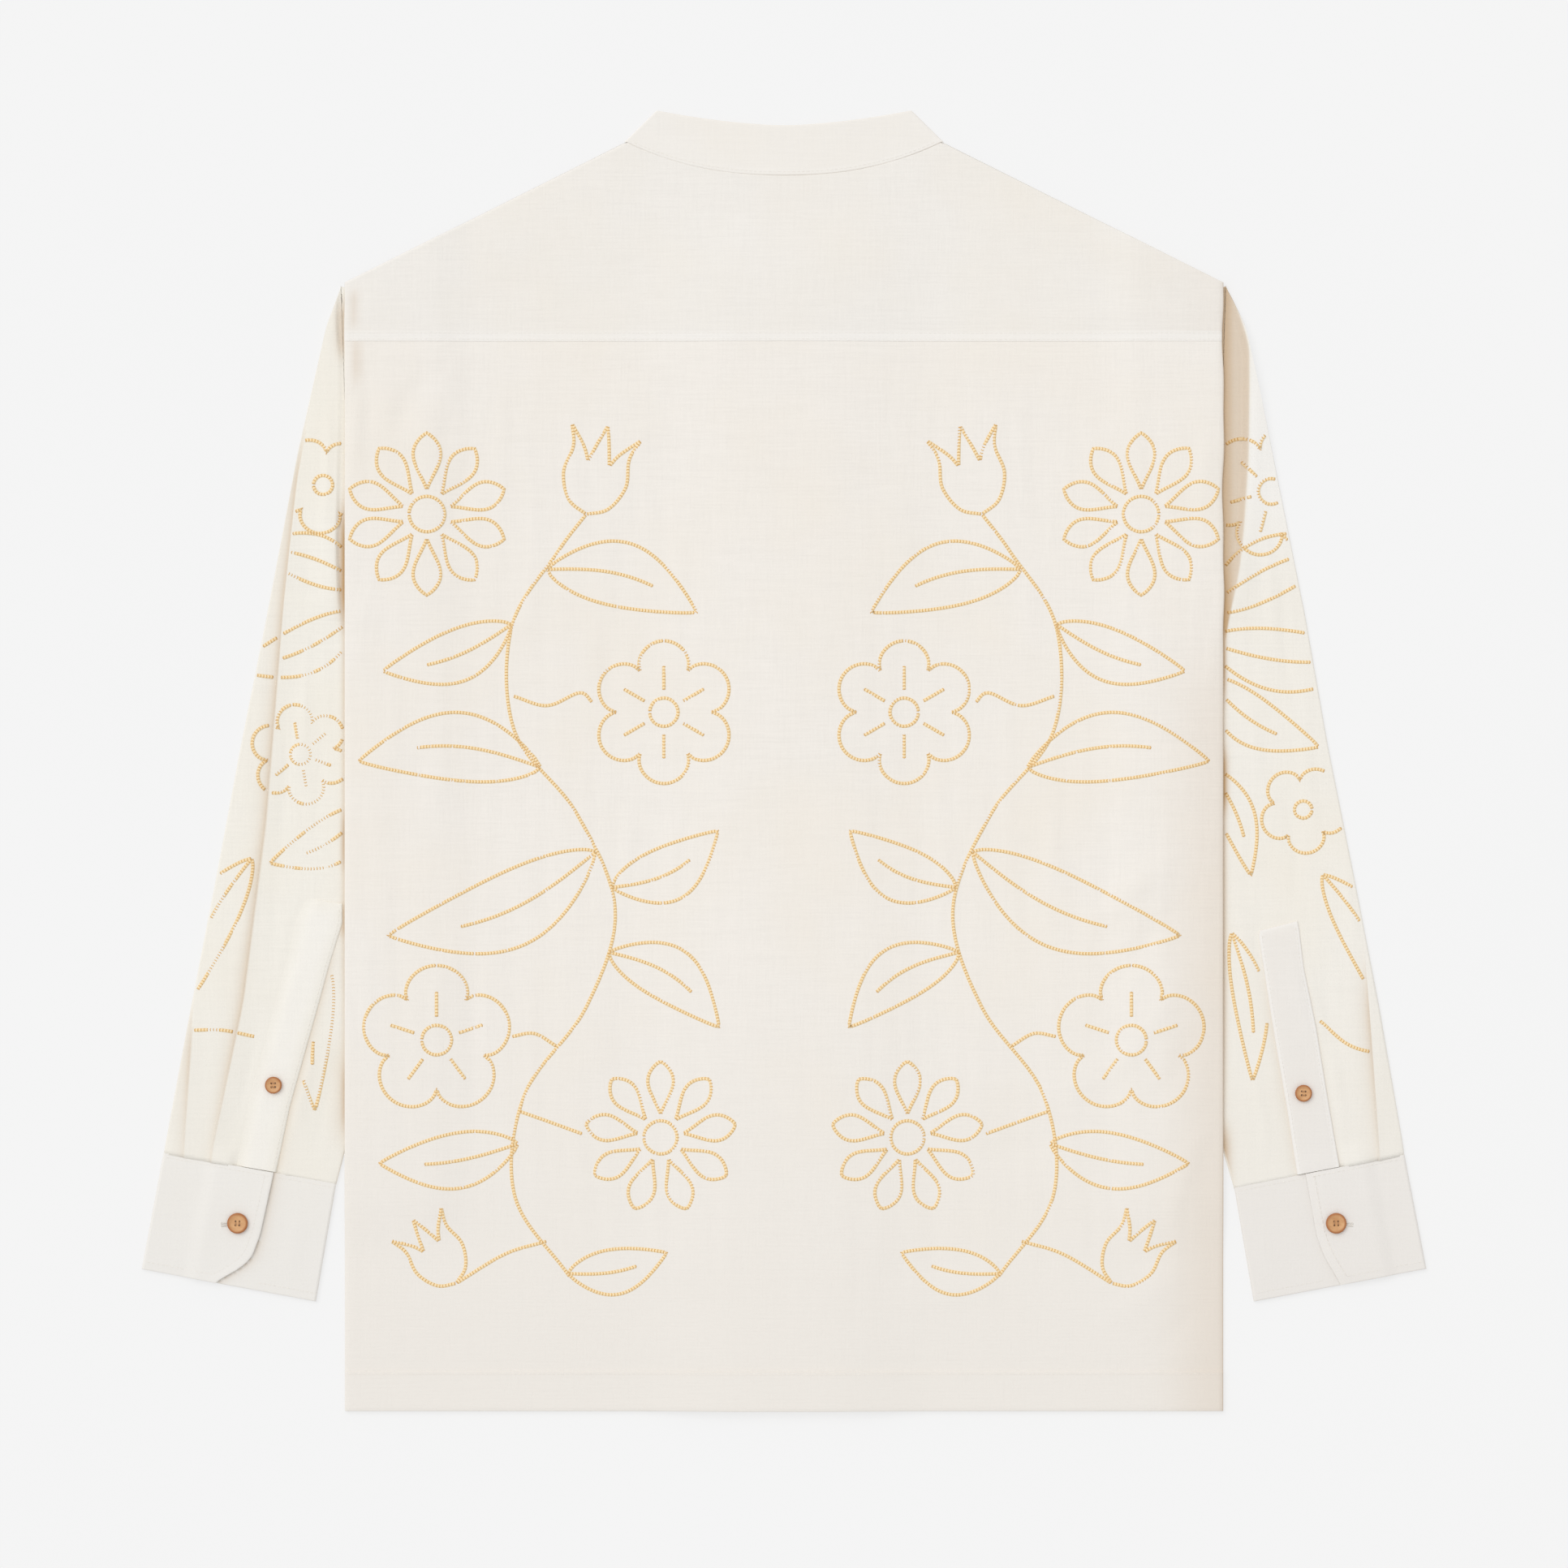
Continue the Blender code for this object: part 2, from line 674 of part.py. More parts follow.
def buttons(look):
    sewn = button_mesh("front_button", FRONT_BUTTON_DIAMETER, FRONT_BUTTON_HEIGHT)
    cuffs = button_mesh("cuff_button", CUFF_BUTTON_DIAMETER, CUFF_BUTTON_HEIGHT)
    plackets = button_mesh("placket_button", PLACKET_BUTTON_DIAMETER, PLACKET_BUTTON_HEIGHT)
    for mesh in (sewn, cuffs, plackets):
        mesh.materials.clear()
        mesh.materials.append(look)
        mesh.shade_smooth()
        mesh.set_sharp_from_angle(angle=math.radians(SHARP_ANGLE))
    for number in range(FRONT_BUTTONS):
        y = FRONT_BUTTON_FIRST_Y - number * FRONT_BUTTON_PITCH
        place_button(f"front_button_{number + 1}", sewn, 0.0, y, 0.0)
    for side, sign in SIGN.items():
        x, y = CUFF_BUTTONS[side]
        place_button("cuff_button_" + side, cuffs, sign * x, y, 3 * (CUFF_WALL + GAP))
        x, y = PLACKET_BUTTONS[side]
        height = TUBE_HEIGHT + PLACKET_WALL + 2 * GAP
        place_button("placket_button_" + side, plackets, sign * x, y, height)


def main():
    clear_scene()
    back_yoke(material("yoke linen", LINEN, LINEN_ROUGHNESS))
    back_panel(material("back linen", LINEN, LINEN_ROUGHNESS))
    fronts = material("front linen", LINEN, LINEN_ROUGHNESS)
    front("front_left", -BODY_HALF, FRONT_OVERLAP, left_front_base, fronts)
    front("front_right", -FRONT_OVERLAP, BODY_HALF, right_front_base, fronts)
    collar_band(material("collar linen", LINEN_PRESSED, LINEN_ROUGHNESS))
    sleeves = material("sleeve linen", LINEN, LINEN_ROUGHNESS)
    cuffs = material("cuff linen", LINEN_PRESSED, LINEN_ROUGHNESS)
    for side in SIGN:
        sleeve(side, sleeves)
        cuff(side, cuffs)
        sleeve_placket(side, cuffs)
    buttons(material("horn", HORN, HORN_ROUGHNESS))


main()
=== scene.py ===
"""Looks of a linen shirt that lies flat with its back up.

X runs across the shirt to the wearer's right, Y up to the collar and Z up from the table.
Sizes are in millimetres, and each mesh is turned into metres where it is made.
"""

import math
from functools import partial

import bmesh
import bpy
import numpy as np
from mathutils import Matrix


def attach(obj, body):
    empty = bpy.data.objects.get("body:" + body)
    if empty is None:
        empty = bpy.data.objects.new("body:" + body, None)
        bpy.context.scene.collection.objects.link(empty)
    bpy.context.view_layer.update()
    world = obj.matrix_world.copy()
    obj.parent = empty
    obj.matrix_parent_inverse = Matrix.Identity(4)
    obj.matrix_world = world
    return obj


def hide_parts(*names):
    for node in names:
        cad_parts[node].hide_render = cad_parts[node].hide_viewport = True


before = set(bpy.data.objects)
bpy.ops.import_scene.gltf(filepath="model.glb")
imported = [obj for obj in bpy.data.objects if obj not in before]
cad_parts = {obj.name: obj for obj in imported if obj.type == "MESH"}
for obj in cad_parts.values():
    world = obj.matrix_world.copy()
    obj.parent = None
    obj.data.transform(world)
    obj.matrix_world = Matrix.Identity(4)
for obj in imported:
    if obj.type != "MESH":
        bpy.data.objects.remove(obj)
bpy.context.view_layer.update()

MM = 0.001
FAR = 99.0

# Thickness of the cloth and the space between its layers
WALL = 1.0
HEM_WALL = 1.6
YOKE_BAND_WALL = 1.04
COLLAR_WALL = 1.5
CUFF_WALL = 1.3
PLACKET_WALL = 1.2
GAP = 0.3
TUBE_HEIGHT = 2 * WALL + GAP

# Outline of the body
BODY_HALF = 270.75
HEM_Y = -400.75
HEM_DEPTH = 24.5
HEM_TOP = HEM_Y + HEM_DEPTH
FOLD_ROUND = 1.7
FOLD_LIP = 0.65
LIP_DROP = 0.35
FRONT_INSET = 1.1
BESIDE_FOLD = (0.0, 0.06, 0.2, 0.45, 0.65, 0.95)
# Painted shade on the outer face of the fold at the body's right side, and how far in from the edge it
# reaches
FOLD_EDGE_SHADE = 0.4
FOLD_EDGE_SHADE_WIDTH = 1.4
YOKE_Y = 258.25
YOKE_BAND = 6.0
SHOULDER_Y = 294.75
NECK_HALF = 97.0
NECK_Y = 381.75
BACK_NECK_DROP = 20.5
FRONT_NECK_DROP = 85.0
NECK_CURVE = 2.3
SHOULDER_SLOPE = (NECK_Y - SHOULDER_Y) / (BODY_HALF - NECK_HALF)

# Band collar
COLLAR_TOP_HALF = 77.3
COLLAR_TOP_Y = 400.75
COLLAR_HEIGHT = 30.0
COLLAR_TOP_DIP = 9.0
COLLAR_TOP_CURVE = 1.65
COLLAR_SEAM_OVERLAP = 0.35
COLLAR_END = 1.5
# How far the painted light and shade at the collar's seam fade out towards the left
COLLAR_LIGHT_AND_SHADE_FADE = 60.0
COLLAR_FOLD_REACH = 1.5
COLLAR_FOLD_INSIDE = 0.2
FOLD_TURNS = (-80.0, -55.0, -28.0, 0.0, 28.0, 55.0, 80.0)

# Front closing
FRONT_OVERLAP = 17.5
CLOSING_FLAT = 22.0
FRONT_SETTLES = 60.0
BACK_SETTLES = 97.0
FRONT_BUTTON_HEIGHT = 2.0
FRONT_BUTTON_DIAMETER = 11.0
FRONT_BUTTON_FIRST_Y = 270.0
FRONT_BUTTON_PITCH = 90.0
FRONT_BUTTONS = 7
NECK_SINK = 0.72
NECK_SINK_Y = 297.0
NECK_SINK_LENGTH = 45.0

# The body climbs onto the sleeves under its sides
CLIMB_START = 190.0
CLIMB_WIDTH = 30.0
CLIMB_LOW_Y = -311.0
CLIMB_LENGTH = 45.0

# Sleeves
ARMHOLE_TUCK = 6.0
ARMHOLE_TOP_Y = 290.5
ARMHOLE_LOW_Y = 44.0
FOLD_RADIUS = TUBE_HEIGHT / 2
PLEAT_WIDTH = 14.0
PLEAT_FALL = 1.5
PLEAT_STEP = 0.7
PLEAT_SHADE = 0.65
SEAM_CLIMB = 15.0
SEAM_TUCK = 0.8
RIDGE_OUTER_WIDTH = 14.0
SLEEVE_ROWS = 210
SLEEVE_PARTS = {"left": (70, 20, 16), "right": (88, 18)}
SLEEVE_ROOM = 1.6
SLEEVE_LOWER_COLUMNS = 14

# Outer edge of each sleeve: height on the shirt, then distance from its middle on each side
SLEEVE_EDGE = (
    # y, left, right
    (293.75, 272.5, 271.25),
    (288.75, 274.5, 274.5),
    (278.75, 278.0, 279.5),
    (268.75, 282.0, 284.5),
    (248.75, 286.5, 289.0),
    (228.75, 291.0, 293.5),
    (188.75, 300.0, 301.5),
    (148.75, 307.5, 309.5),
    (88.75, 319.0, 321.5),
    (8.75, 335.0, 335.5),
    (-71.25, 350.0, 351.5),
    (-151.25, 365.5, 367.0),
    (-231.25, 380.5, 380.8),
    (-242.0, 382.5, 382.5),
)

# Lines across a sleeve, from its outer edge to its underarm edge
SLEEVE_LINES = (
    # outer y, inner x, inner y
    (293.0, 264.7, 43.8),
    (279.0, 264.7, 43.5),
    (263.0, 264.7, 43.2),
    (245.0, 264.6, 42.9),
    (224.0, 264.6, 42.6),
    (199.0, 264.5, 42.3),
    (172.0, 264.3, 41.8),
    (146.0, 264.0, 41.0),
    (118.0, 262.5, 38.5),
    (92.0, 257.5, 32.0),
    (70.0, 250.0, 20.0),
    (48.0, 241.0, 2.0),
    (24.0, 234.0, -20.0),
    (0.0, 230.0, -47.0),
    (-26.0, 229.5, -74.0),
    (-54.0, 233.0, -98.0),
    (-86.0, 240.0, -126.0),
    (-118.0, 248.0, -156.0),
    (-150.0, 256.0, -186.0),
    (-182.0, 264.0, -216.0),
    (-212.0, 271.0, -242.0),
)

# Pleats above the cuffs. The raised side lies nearer the body on the left, away from it on the right
PLEAT_RAISED_SIDE = {"left": 1.0, "right": -1.0}
PLEATS = {
    "left": (
        (
            # y, distance from the middle, height
            (218.0, 292.5, 0.0),
            (174.0, 300.5, 0.7),
            (96.0, 309.0, 1.2),
            (-39.0, 320.0, 1.3),
            (-149.0, 334.0, 1.4),
            (-243.0, 353.5, 1.6),
        ),
        (
            (-138.0, 363.5, 0.0),
            (-180.0, 366.5, 0.8),
            (-243.0, 370.5, 1.2),
        ),
    ),
    "right": (
        (
            (-110.0, 357.0, 0.0),
            (-150.0, 360.0, 0.9),
            (-243.0, 366.5, 1.6),
        ),
    ),
}

# Folds of the sleeves beside the body: a valley at its edge, then a ridge
RIDGE_RISE = {"left": 3.0, "right": 5.0}
RIDGES = {
    "left": (
        # y, distance from the body's edge, height
        (294.0, 4.0, 0.0),
        (282.0, 6.0, 1.6),
        (266.0, 6.3, 2.0),
        (247.0, 4.0, 0.8),
        (218.0, 4.5, 0.4),
        (168.0, 5.5, 1.4),
        (128.0, 6.2, 2.6),
        (95.0, 4.5, 1.6),
        (80.0, 3.0, 0.0),
    ),
    "right": (
        (294.0, 2.5, 0.0),
        (278.0, 9.0, 2.0),
        (256.0, 16.0, 3.8),
        (228.0, 16.0, 4.2),
        (188.0, 15.5, 4.2),
        (148.0, 13.0, 3.4),
        (128.0, 11.2, 3.0),
        (114.0, 9.4, 2.5),
        (100.0, 6.4, 1.7),
        (86.0, 3.4, 0.7),
        (74.0, 1.8, 0.0),
    ),
}

# Shade on the back and the yoke: its depth, then where it starts and where it is full
RIGHT_SHADE = (0.24, (222.0, 270.0), (120.0, 10.0))
LOW_CORNER_SHADE = (0.04, (190.0, 260.0), (-250.0, -340.0))
YOKE_RIGHT_SHADE = (0.10, (200.0, 270.0))
HEM_SHADE = 0.05
HEM_SHADE_WIDTH = 0.9
YOKE_BAND_LIGHT = 0.28

# Shade in the folds at the left shoulder: depth, middle x, then start and full height at each end
SHOULDER_FOLD_WIDTH = 3.0
BACK_FOLD_SHADE = (0.35, -263.0, (225.0, 245.0), (270.0, 250.0))
YOKE_FOLD_SHADE = (0.3, -265.0, (262.0, 274.0), (294.0, 284.0))

# Shade in the valley beside the body's right edge, and the light on the ridge beyond it
VALLEY_SHADE = 1.12
VALLEY_LOW_SHADE = 0.25
VALLEY_FADE = 0.42
VALLEY_FADE_AWAY = (1.0, 8.0)
VALLEY_ENDS = (60.0, 84.0)
VALLEY_LOW = (135.0, 85.0)
RIDGE_LIGHT = 0.6
RIDGE_LIGHT_Y = (100.0, 180.0)

# Shade beside pleats, plackets and the cuffs' free ends
PLEAT_SHADE_FROM = -0.36
PLEAT_SHADE_WIDTH = 3.2
PLEAT_SHADE_AT_CUFF = 0.35
PLACKET_FREE_SHADE = {"left": 0.45, "right": 0.24}
PLACKET_FREE_WIDTH = 2.8
PLACKET_SEWN_SHADE = {"left": 0.02, "right": 0.2}
PLACKET_SEWN_WIDTH = 0.8
CUFF_END_SHADE = {"left": 0.5, "right": 0.06}
CUFF_END_SHADE_WIDTH = 3.0

# Shade that gathers in the gap between the body's edge and the sleeve
EDGE_SHADE = {
    "left": (
        # middle y, half its length, width, depth of shade
        (266.0, 24.0, 5.0, 0.7),
        (121.0, 48.0, 4.0, 1.15),
        (-49.0, 24.0, 2.4, 0.6),
        (-98.0, 14.0, 4.0, 0.55),
        (-205.0, 44.0, 8.0, 0.28),
        (-208.0, 26.0, 2.4, 0.4),
        (-20.0, 270.0, 2.2, 0.45),
    ),
    "right": (
        (-12.0, 26.0, 3.2, 0.85),
        (-90.0, 190.0, 2.2, 0.7),
        (70.0, 44.0, 2.0, 1.1),
        (-250.0, 34.0, 4.5, 1.0),
    ),
}

# Cuffs
CUFF_CORNERS = {
    # seam at the inner edge, seam at the outer edge, end at the inner edge, end at the outer edge
    "left": ((276.0, -260.5), (382.5, -241.5), (288.5, -333.25), (396.0, -313.25)),
    "right": ((277.5, -263.0), (382.5, -242.5), (289.5, -333.25), (396.0, -313.0)),
}
CUFF_DEPTH = 73.0
CUFF_WIDTH = 108.0
CUFF_FREE_END = {"left": 0.36, "right": 0.43}
CUFF_OVERLAP = 0.29
CUFF_CUT_BACK = {
    # t, then how far back the free end is cut
    "left": ((0.0, 0.0), (0.53, 1.5), (0.73, 4.1), (0.83, 9.4), (1.0, 24.0)),
    "right": ((0.0, -1.3), (0.55, -1.2), (0.73, 1.1), (1.0, 8.2)),
}
CUFF_END_LIFT = {"left": 0.5, "right": 0.0}
CUFF_END_PRESSED = {"left": 0.0, "right": 0.95}
CUFF_STEP_NEAR = 0.02
CUFF_STEP_FAR = 0.12
CUFF_ROWS = 44

# Sleeve plackets: lines across each, from the edge nearer the body to the other one
PLACKETS = {
    "left": (
        # inner x, inner y, outer x, outer y
        (272.2, -88.0, 293.5, -84.5),
        (272.2, -94.0, 297.5, -92.5),
        (272.2, -100.25, 301.0, -99.5),
        (280.0, -125.0, 305.0, -119.0),
        (288.5, -156.0, 313.5, -150.0),
        (304.5, -213.0, 329.0, -207.0),
        (313.0, -253.4, 337.2, -249.3),
    ),
    "right": (
        (293.0, -104.5, 316.5, -98.5),
        (292.5, -108.75, 317.5, -103.0),
        (296.5, -134.25, 320.5, -128.0),
        (302.0, -168.75, 328.0, -164.0),
        (310.5, -217.75, 336.0, -213.0),
        (316.2, -255.0, 342.4, -250.0),
    ),
}
PLACKET_BASE = TUBE_HEIGHT - 0.05
PLACKET_HEIGHT = 1.1
PLACKET_SOFT_SIDE = 9.0
PLACKET_DIVE = 5.0
PLACKET_ROUND = {"left": 1.5, "right": 0.7}

# Buttons
BUTTON_SEGMENTS = 48
HOLE_SEGMENTS = 14
HOLE_RADIUS = 0.62
HOLE_OFFSET = 1.15
CUFF_BUTTON = (12.7, 2.4)
PLACKET_BUTTON = (10.4, 2.2)
CUFF_BUTTONS = {"left": (336.5, -284.75), "right": (340.0, -284.75)}
PLACKET_BUTTONS = {"left": (314.5, -199.75), "right": (320.0, -204.75)}
CUFF_TOP = 3 * CUFF_WALL + 2 * GAP
CUFF_BUTTON_LEVEL = 3 * (CUFF_WALL + GAP)
PLACKET_BUTTON_LEVEL = TUBE_HEIGHT + PLACKET_WALL + 2 * GAP
BUTTON_DISH = 0.74
BUTTON_PROFILE = (
    # share of the radius, share of the height
    (0.0, 0.0),
    (0.76, 0.0),
    (0.92, 0.12),
    (1.0, 0.40),
    (1.0, 0.64),
    (0.965, 0.86),
    (0.89, 0.985),
    (0.82, 1.0),
    (0.74, 0.95),
    (0.66, 0.82),
    (0.56, 0.745),
    (0.4, BUTTON_DISH),
    (0.0, BUTTON_DISH),
)
BUTTON_SHARP = 50.0
SEW_RADIUS = 0.12
SEW_STRANDS = (-0.22, 0.0, 0.22)
SEW_PAST_HOLE = 0.35
SEW_HEIGHTS = (-1.2, -0.5, 0.22, 0.34, 0.22, -0.5, -1.2)
BUTTONHOLE_ENDS = ((-2.0, 0.2), (10.5, -1.0))
BUTTONHOLE_RISE = 0.15
BUTTONHOLE_PITCH = 0.55
BUTTONHOLE_ACROSS = (0.15, 0.4, 1.2, 1.45)
BUTTONHOLE_LIFT = (-0.1, 0.22, 0.22, -0.1)
BUTTONHOLE_RADIUS = 0.3

# Stitches
TOPSTITCH_PITCH = 2.9
TOPSTITCH_LENGTH = 2.3
TOPSTITCH_RADIUS = 0.14
TOPSTITCH_RISE = 0.05
TOPSTITCH_DIVE = 0.12
CUFF_STITCH_INSET = 5.0
HEM_STITCH_BELOW = 1.6
YOKE_STITCHES = (1.3, YOKE_BAND - 0.9)
COLLAR_STITCH_UP = 2.0
SEAM_STITCH_INSET = 2.0
CHAIN_PITCH = 1.85
CHAIN_WIDTH = 2.2
SHORTEST_RUN = 6
BAR_ACROSS = (-1.15, -0.8, 0.0, 0.8, 1.15)
BAR_ALONG = (-0.25, -0.1, 0.15, -0.1, -0.25)
BAR_LIFT = (-0.15, 0.05, 0.1, 0.05, -0.15)
BAR_RADIUS = 0.36
BAR_THICKNESS = 0.22
BAND_HALF = 1.1
BAND_LIFT = 0.0
BAND_RADIUS = 0.07
BAND_PITCH = 2.2
BAND_TIP = 0.6
CHAIN_INSIDE_BACK = 2.2
CHAIN_BESIDE_BODY = 1.4
CHAIN_INSIDE_EDGE = 1.8
CHAIN_BESIDE_PLACKET = 3.2
CHAIN_LOW_Y = -238.0

SIGN = {"left": -1.0, "right": 1.0}

# Picture: what the camera takes in, and the level of the cloth that it looks at
PICTURE_SIDE = 966.0
PICTURE_MIDDLE_Y = -14.25
CLOTH_LEVEL = 4.0
LENS = 135.0
SENSOR = 36.0

# Studio: sizes in millimetres, turns in degrees
FLOOR_SIZE = 8000.0
FLOOR_LEVEL = -0.2
FLOOR_GREYS = (0.325, 0.315)
FLOOR_GLOW = 0.592
WORLD_LIGHT = 0.729
KEY_LIGHT = 1.04
KEY_SOFTNESS = 45.0
KEY_TILT = (-24.0, -28.0)

# Colours, as in the picture from 0 to 255
LINENS = {
    # colour, turn of the weave in degrees, strength of the weave
    "linen_back": ((244, 239, 232), 0.0, 1.0),
    "linen_yoke": ((243, 239, 233), 0.0, 1.0),
    "linen_pressed": ((243, 239, 233), 0.0, 0.7),
    "linen_sleeve_left": ((245, 241, 232), -11.0, 1.0),
    "linen_sleeve_right": ((244, 240, 232), 11.0, 1.0),
    "linen_cuff_left": ((242, 239, 234), -10.0, 0.8),
    "linen_cuff_right": ((240, 236, 231), 10.0, 0.8),
}
THREADS = {
    # colour, and the one that it goes over to along its way
    "thread_white": ((245, 241, 234), (242, 237, 229)),
    "thread_cream": ((254, 232, 190), (250, 225, 180)),
    "thread_ochre": ((224, 178, 110), (234, 194, 132)),
    "thread_brown": ((196, 152, 112), (176, 130, 92)),
}
HORN_LIGHT = (220, 172, 122)
HORN_DARK = (196, 142, 92)
HORN_RIM = (166, 96, 44)
# Painted light and shade on the cloth: SHADE is the tan of deep shade, LIGHTER the colour of painted light,
# and DEEPEST the tone at which the painted shade is full
SHADE = (198, 166, 126)
LIGHTER = (250, 248, 245)
DEEPEST = 1.4

# Small uneven puckers of linen: directions and lengths of a few waves that are added up
PUCKERS = (
    # length across, length along, drift, height
    (23.0, 190.0, 0.3, 0.10),
    (14.5, 120.0, -0.5, 0.08),
    (9.7, 83.0, 0.9, 0.055),
    (61.0, 240.0, 1.7, 0.16),
    (7.1, 47.0, 2.6, 0.03),
)
PUCKER_BASE = 0.25

# Creases pressed into the cloth, in all the tables below: start, end, width, height and bend of each
BACK_CREASES = (
    # x0, y0, x1, y1, width, height, bend
    (-216.0, 246.0, -240.0, 196.0, 7.0, -0.75, 0.05),
    (-206.0, 252.0, -214.0, 200.0, 6.0, 0.45, -0.03),
    (-196.0, 190.0, -204.0, 128.0, 5.0, -0.55, 0.02),
    (-188.0, 176.0, -192.0, 120.0, 4.0, 0.35, 0.0),
    (-98.0, 248.0, -84.0, 172.0, 9.0, 0.4, 0.03),
    (-72.0, 244.0, -60.0, 150.0, 11.0, -0.4, 0.02),
    (-150.0, 138.0, -158.0, 62.0, 6.0, 0.4, 0.02),
    (-112.0, 96.0, -106.0, 22.0, 6.0, -0.4, -0.02),
    (-238.0, 44.0, -246.0, -28.0, 7.0, 0.45, 0.02),
    (-224.0, 22.0, -226.0, -46.0, 5.0, -0.35, 0.0),
    (-166.0, -30.0, -160.0, -104.0, 6.0, 0.4, 0.02),
    (-150.0, -42.0, -146.0, -112.0, 4.5, -0.4, -0.02),
    (-96.0, -26.0, -90.0, -84.0, 5.5, 0.4, 0.04),
    (-78.0, -10.0, -80.0, -96.0, 7.0, -0.35, 0.02),
    (-42.0, 60.0, -30.0, -60.0, 13.0, 0.4, 0.04),
    (-206.0, -108.0, -214.0, -176.0, 6.0, 0.4, 0.02),
    (-190.0, -120.0, -194.0, -190.0, 5.0, -0.35, 0.0),
    (-128.0, -134.0, -118.0, -214.0, 7.0, 0.4, -0.03),
    (-230.0, -250.0, -168.0, -236.0, 10.0, 0.4, 0.04),
    (-236.0, -290.0, -150.0, -302.0, 12.0, -0.4, -0.03),
    (-120.0, -296.0, -20.0, -318.0, 16.0, 0.45, 0.03),
    (-262.0, 236.0, -266.0, 168.0, 3.4, 0.6, 0.0),
    (-258.0, 252.0, -256.0, 196.0, 3.0, -0.4, 0.01),
    (-256.0, 120.0, -262.0, 40.0, 4.5, 0.5, 0.02),
    (-260.0, -90.0, -256.0, -180.0, 4.5, 0.45, -0.02),
    (66.0, 190.0, 84.0, 96.0, 8.0, 0.4, 0.03),
    (112.0, 150.0, 122.0, 62.0, 6.0, -0.4, 0.02),
    (152.0, 120.0, 148.0, 44.0, 6.0, 0.4, 0.0),
    (176.0, 66.0, 184.0, -12.0, 5.0, -0.4, 0.03),
    (204.0, 34.0, 262.0, 2.0, 7.0, -0.6, 0.06),
    (196.0, 12.0, 258.0, -26.0, 7.0, 0.5, 0.05),
    (222.0, 96.0, 232.0, 30.0, 6.0, 0.4, -0.02),
    (96.0, -20.0, 104.0, -92.0, 6.0, 0.4, 0.0),
    (146.0, -36.0, 152.0, -116.0, 5.0, -0.45, 0.02),
    (164.0, -30.0, 172.0, -96.0, 5.0, 0.4, 0.0),
    (256.0, -48.0, 178.0, -122.0, 8.0, 0.55, 0.06),
    (262.0, -74.0, 196.0, -150.0, 7.0, -0.55, 0.05),
    (250.0, -118.0, 190.0, -206.0, 7.0, 0.5, -0.05),
    (262.0, -150.0, 214.0, -232.0, 7.0, -0.5, -0.04),
    (228.0, -176.0, 150.0, -226.0, 9.0, 0.4, 0.04),
    (180.0, -238.0, 96.0, -250.0, 11.0, -0.4, 0.03),
    (262.0, -214.0, 236.0, -300.0, 6.0, 0.6, 0.03),
    (254.0, -300.0, 190.0, -352.0, 10.0, 0.55, -0.05),
    (262.0, -330.0, 226.0, -372.0, 7.0, -0.4, 0.03),
    (40.0, -60.0, 30.0, -190.0, 14.0, -0.4, 0.03),
    (-20.0, 120.0, 14.0, -10.0, 18.0, 0.5, -0.03),
    (10.0, 226.0, 60.0, 176.0, 12.0, 0.4, 0.05),
    (60.0, -330.0, 150.0, -318.0, 12.0, 0.45, 0.03),
    (262.0, 210.0, 256.0, 132.0, 5.0, 0.5, 0.03),
    (250.0, 176.0, 250.0, 96.0, 5.0, -0.4, -0.02),
    (266.0, 96.0, 260.0, 26.0, 4.0, 0.5, 0.0),
)
YOKE_CREASES = (
    (-228.0, 292.0, -140.0, 330.0, 12.0, 0.45, 0.04),
    (-250.0, 262.0, -258.0, 290.0, 4.0, 0.5, 0.0),
    (-150.0, 272.0, -60.0, 318.0, 14.0, -0.4, 0.03),
    (-40.0, 300.0, -10.0, 352.0, 12.0, 0.4, 0.05),
    (30.0, 346.0, 66.0, 280.0, 11.0, 0.4, -0.04),
    (110.0, 350.0, 196.0, 300.0, 11.0, 0.45, 0.04),
    (214.0, 300.0, 250.0, 270.0, 8.0, -0.5, 0.0),
    (150.0, 268.0, 240.0, 280.0, 9.0, 0.35, 0.03),
)
SLEEVE_CREASES = {
    "left": (
        # distance from the middle, y, distance, y, width, height, bend
        (279.0, 232.0, 284.0, 120.0, 3.0, 0.5, 0.0),
        (296.0, 60.0, 302.0, -20.0, 4.5, 0.6, 0.03),
        (284.0, 30.0, 288.0, -56.0, 4.5, -0.5, 0.0),
        (306.0, 30.0, 314.0, -70.0, 4.0, -0.4, 0.02),
        (326.0, -60.0, 342.0, -150.0, 4.5, 0.5, 0.02),
        (324.0, -150.0, 336.0, -228.0, 4.5, -0.5, 0.02),
        (284.0, -160.0, 302.0, -248.0, 5.0, 0.9, -0.04),
        (276.0, -170.0, 290.0, -252.0, 4.0, -0.6, 0.0),
        (350.0, -20.0, 372.0, -140.0, 5.0, 0.4, 0.0),
    ),
    "right": (
        (297.0, 150.0, 308.0, 60.0, 4.5, 0.7, 0.02),
        (304.0, 110.0, 316.0, 20.0, 4.0, -0.6, 0.0),
        (288.0, 60.0, 296.0, -30.0, 5.0, 0.6, 0.03),
        (318.0, 40.0, 330.0, -60.0, 4.5, 0.6, 0.02),
        (308.0, -10.0, 320.0, -90.0, 4.5, -0.5, 0.0),
        (280.0, -70.0, 288.0, -160.0, 4.5, 0.6, 0.0),
        (330.0, -110.0, 344.0, -190.0, 5.0, -0.6, 0.02),
        (336.0, -170.0, 350.0, -240.0, 4.5, 0.6, 0.02),
        (284.0, -180.0, 300.0, -250.0, 5.0, 0.7, -0.03),
        (346.0, -60.0, 356.0, -130.0, 4.0, 0.4, 0.0),
    ),
}
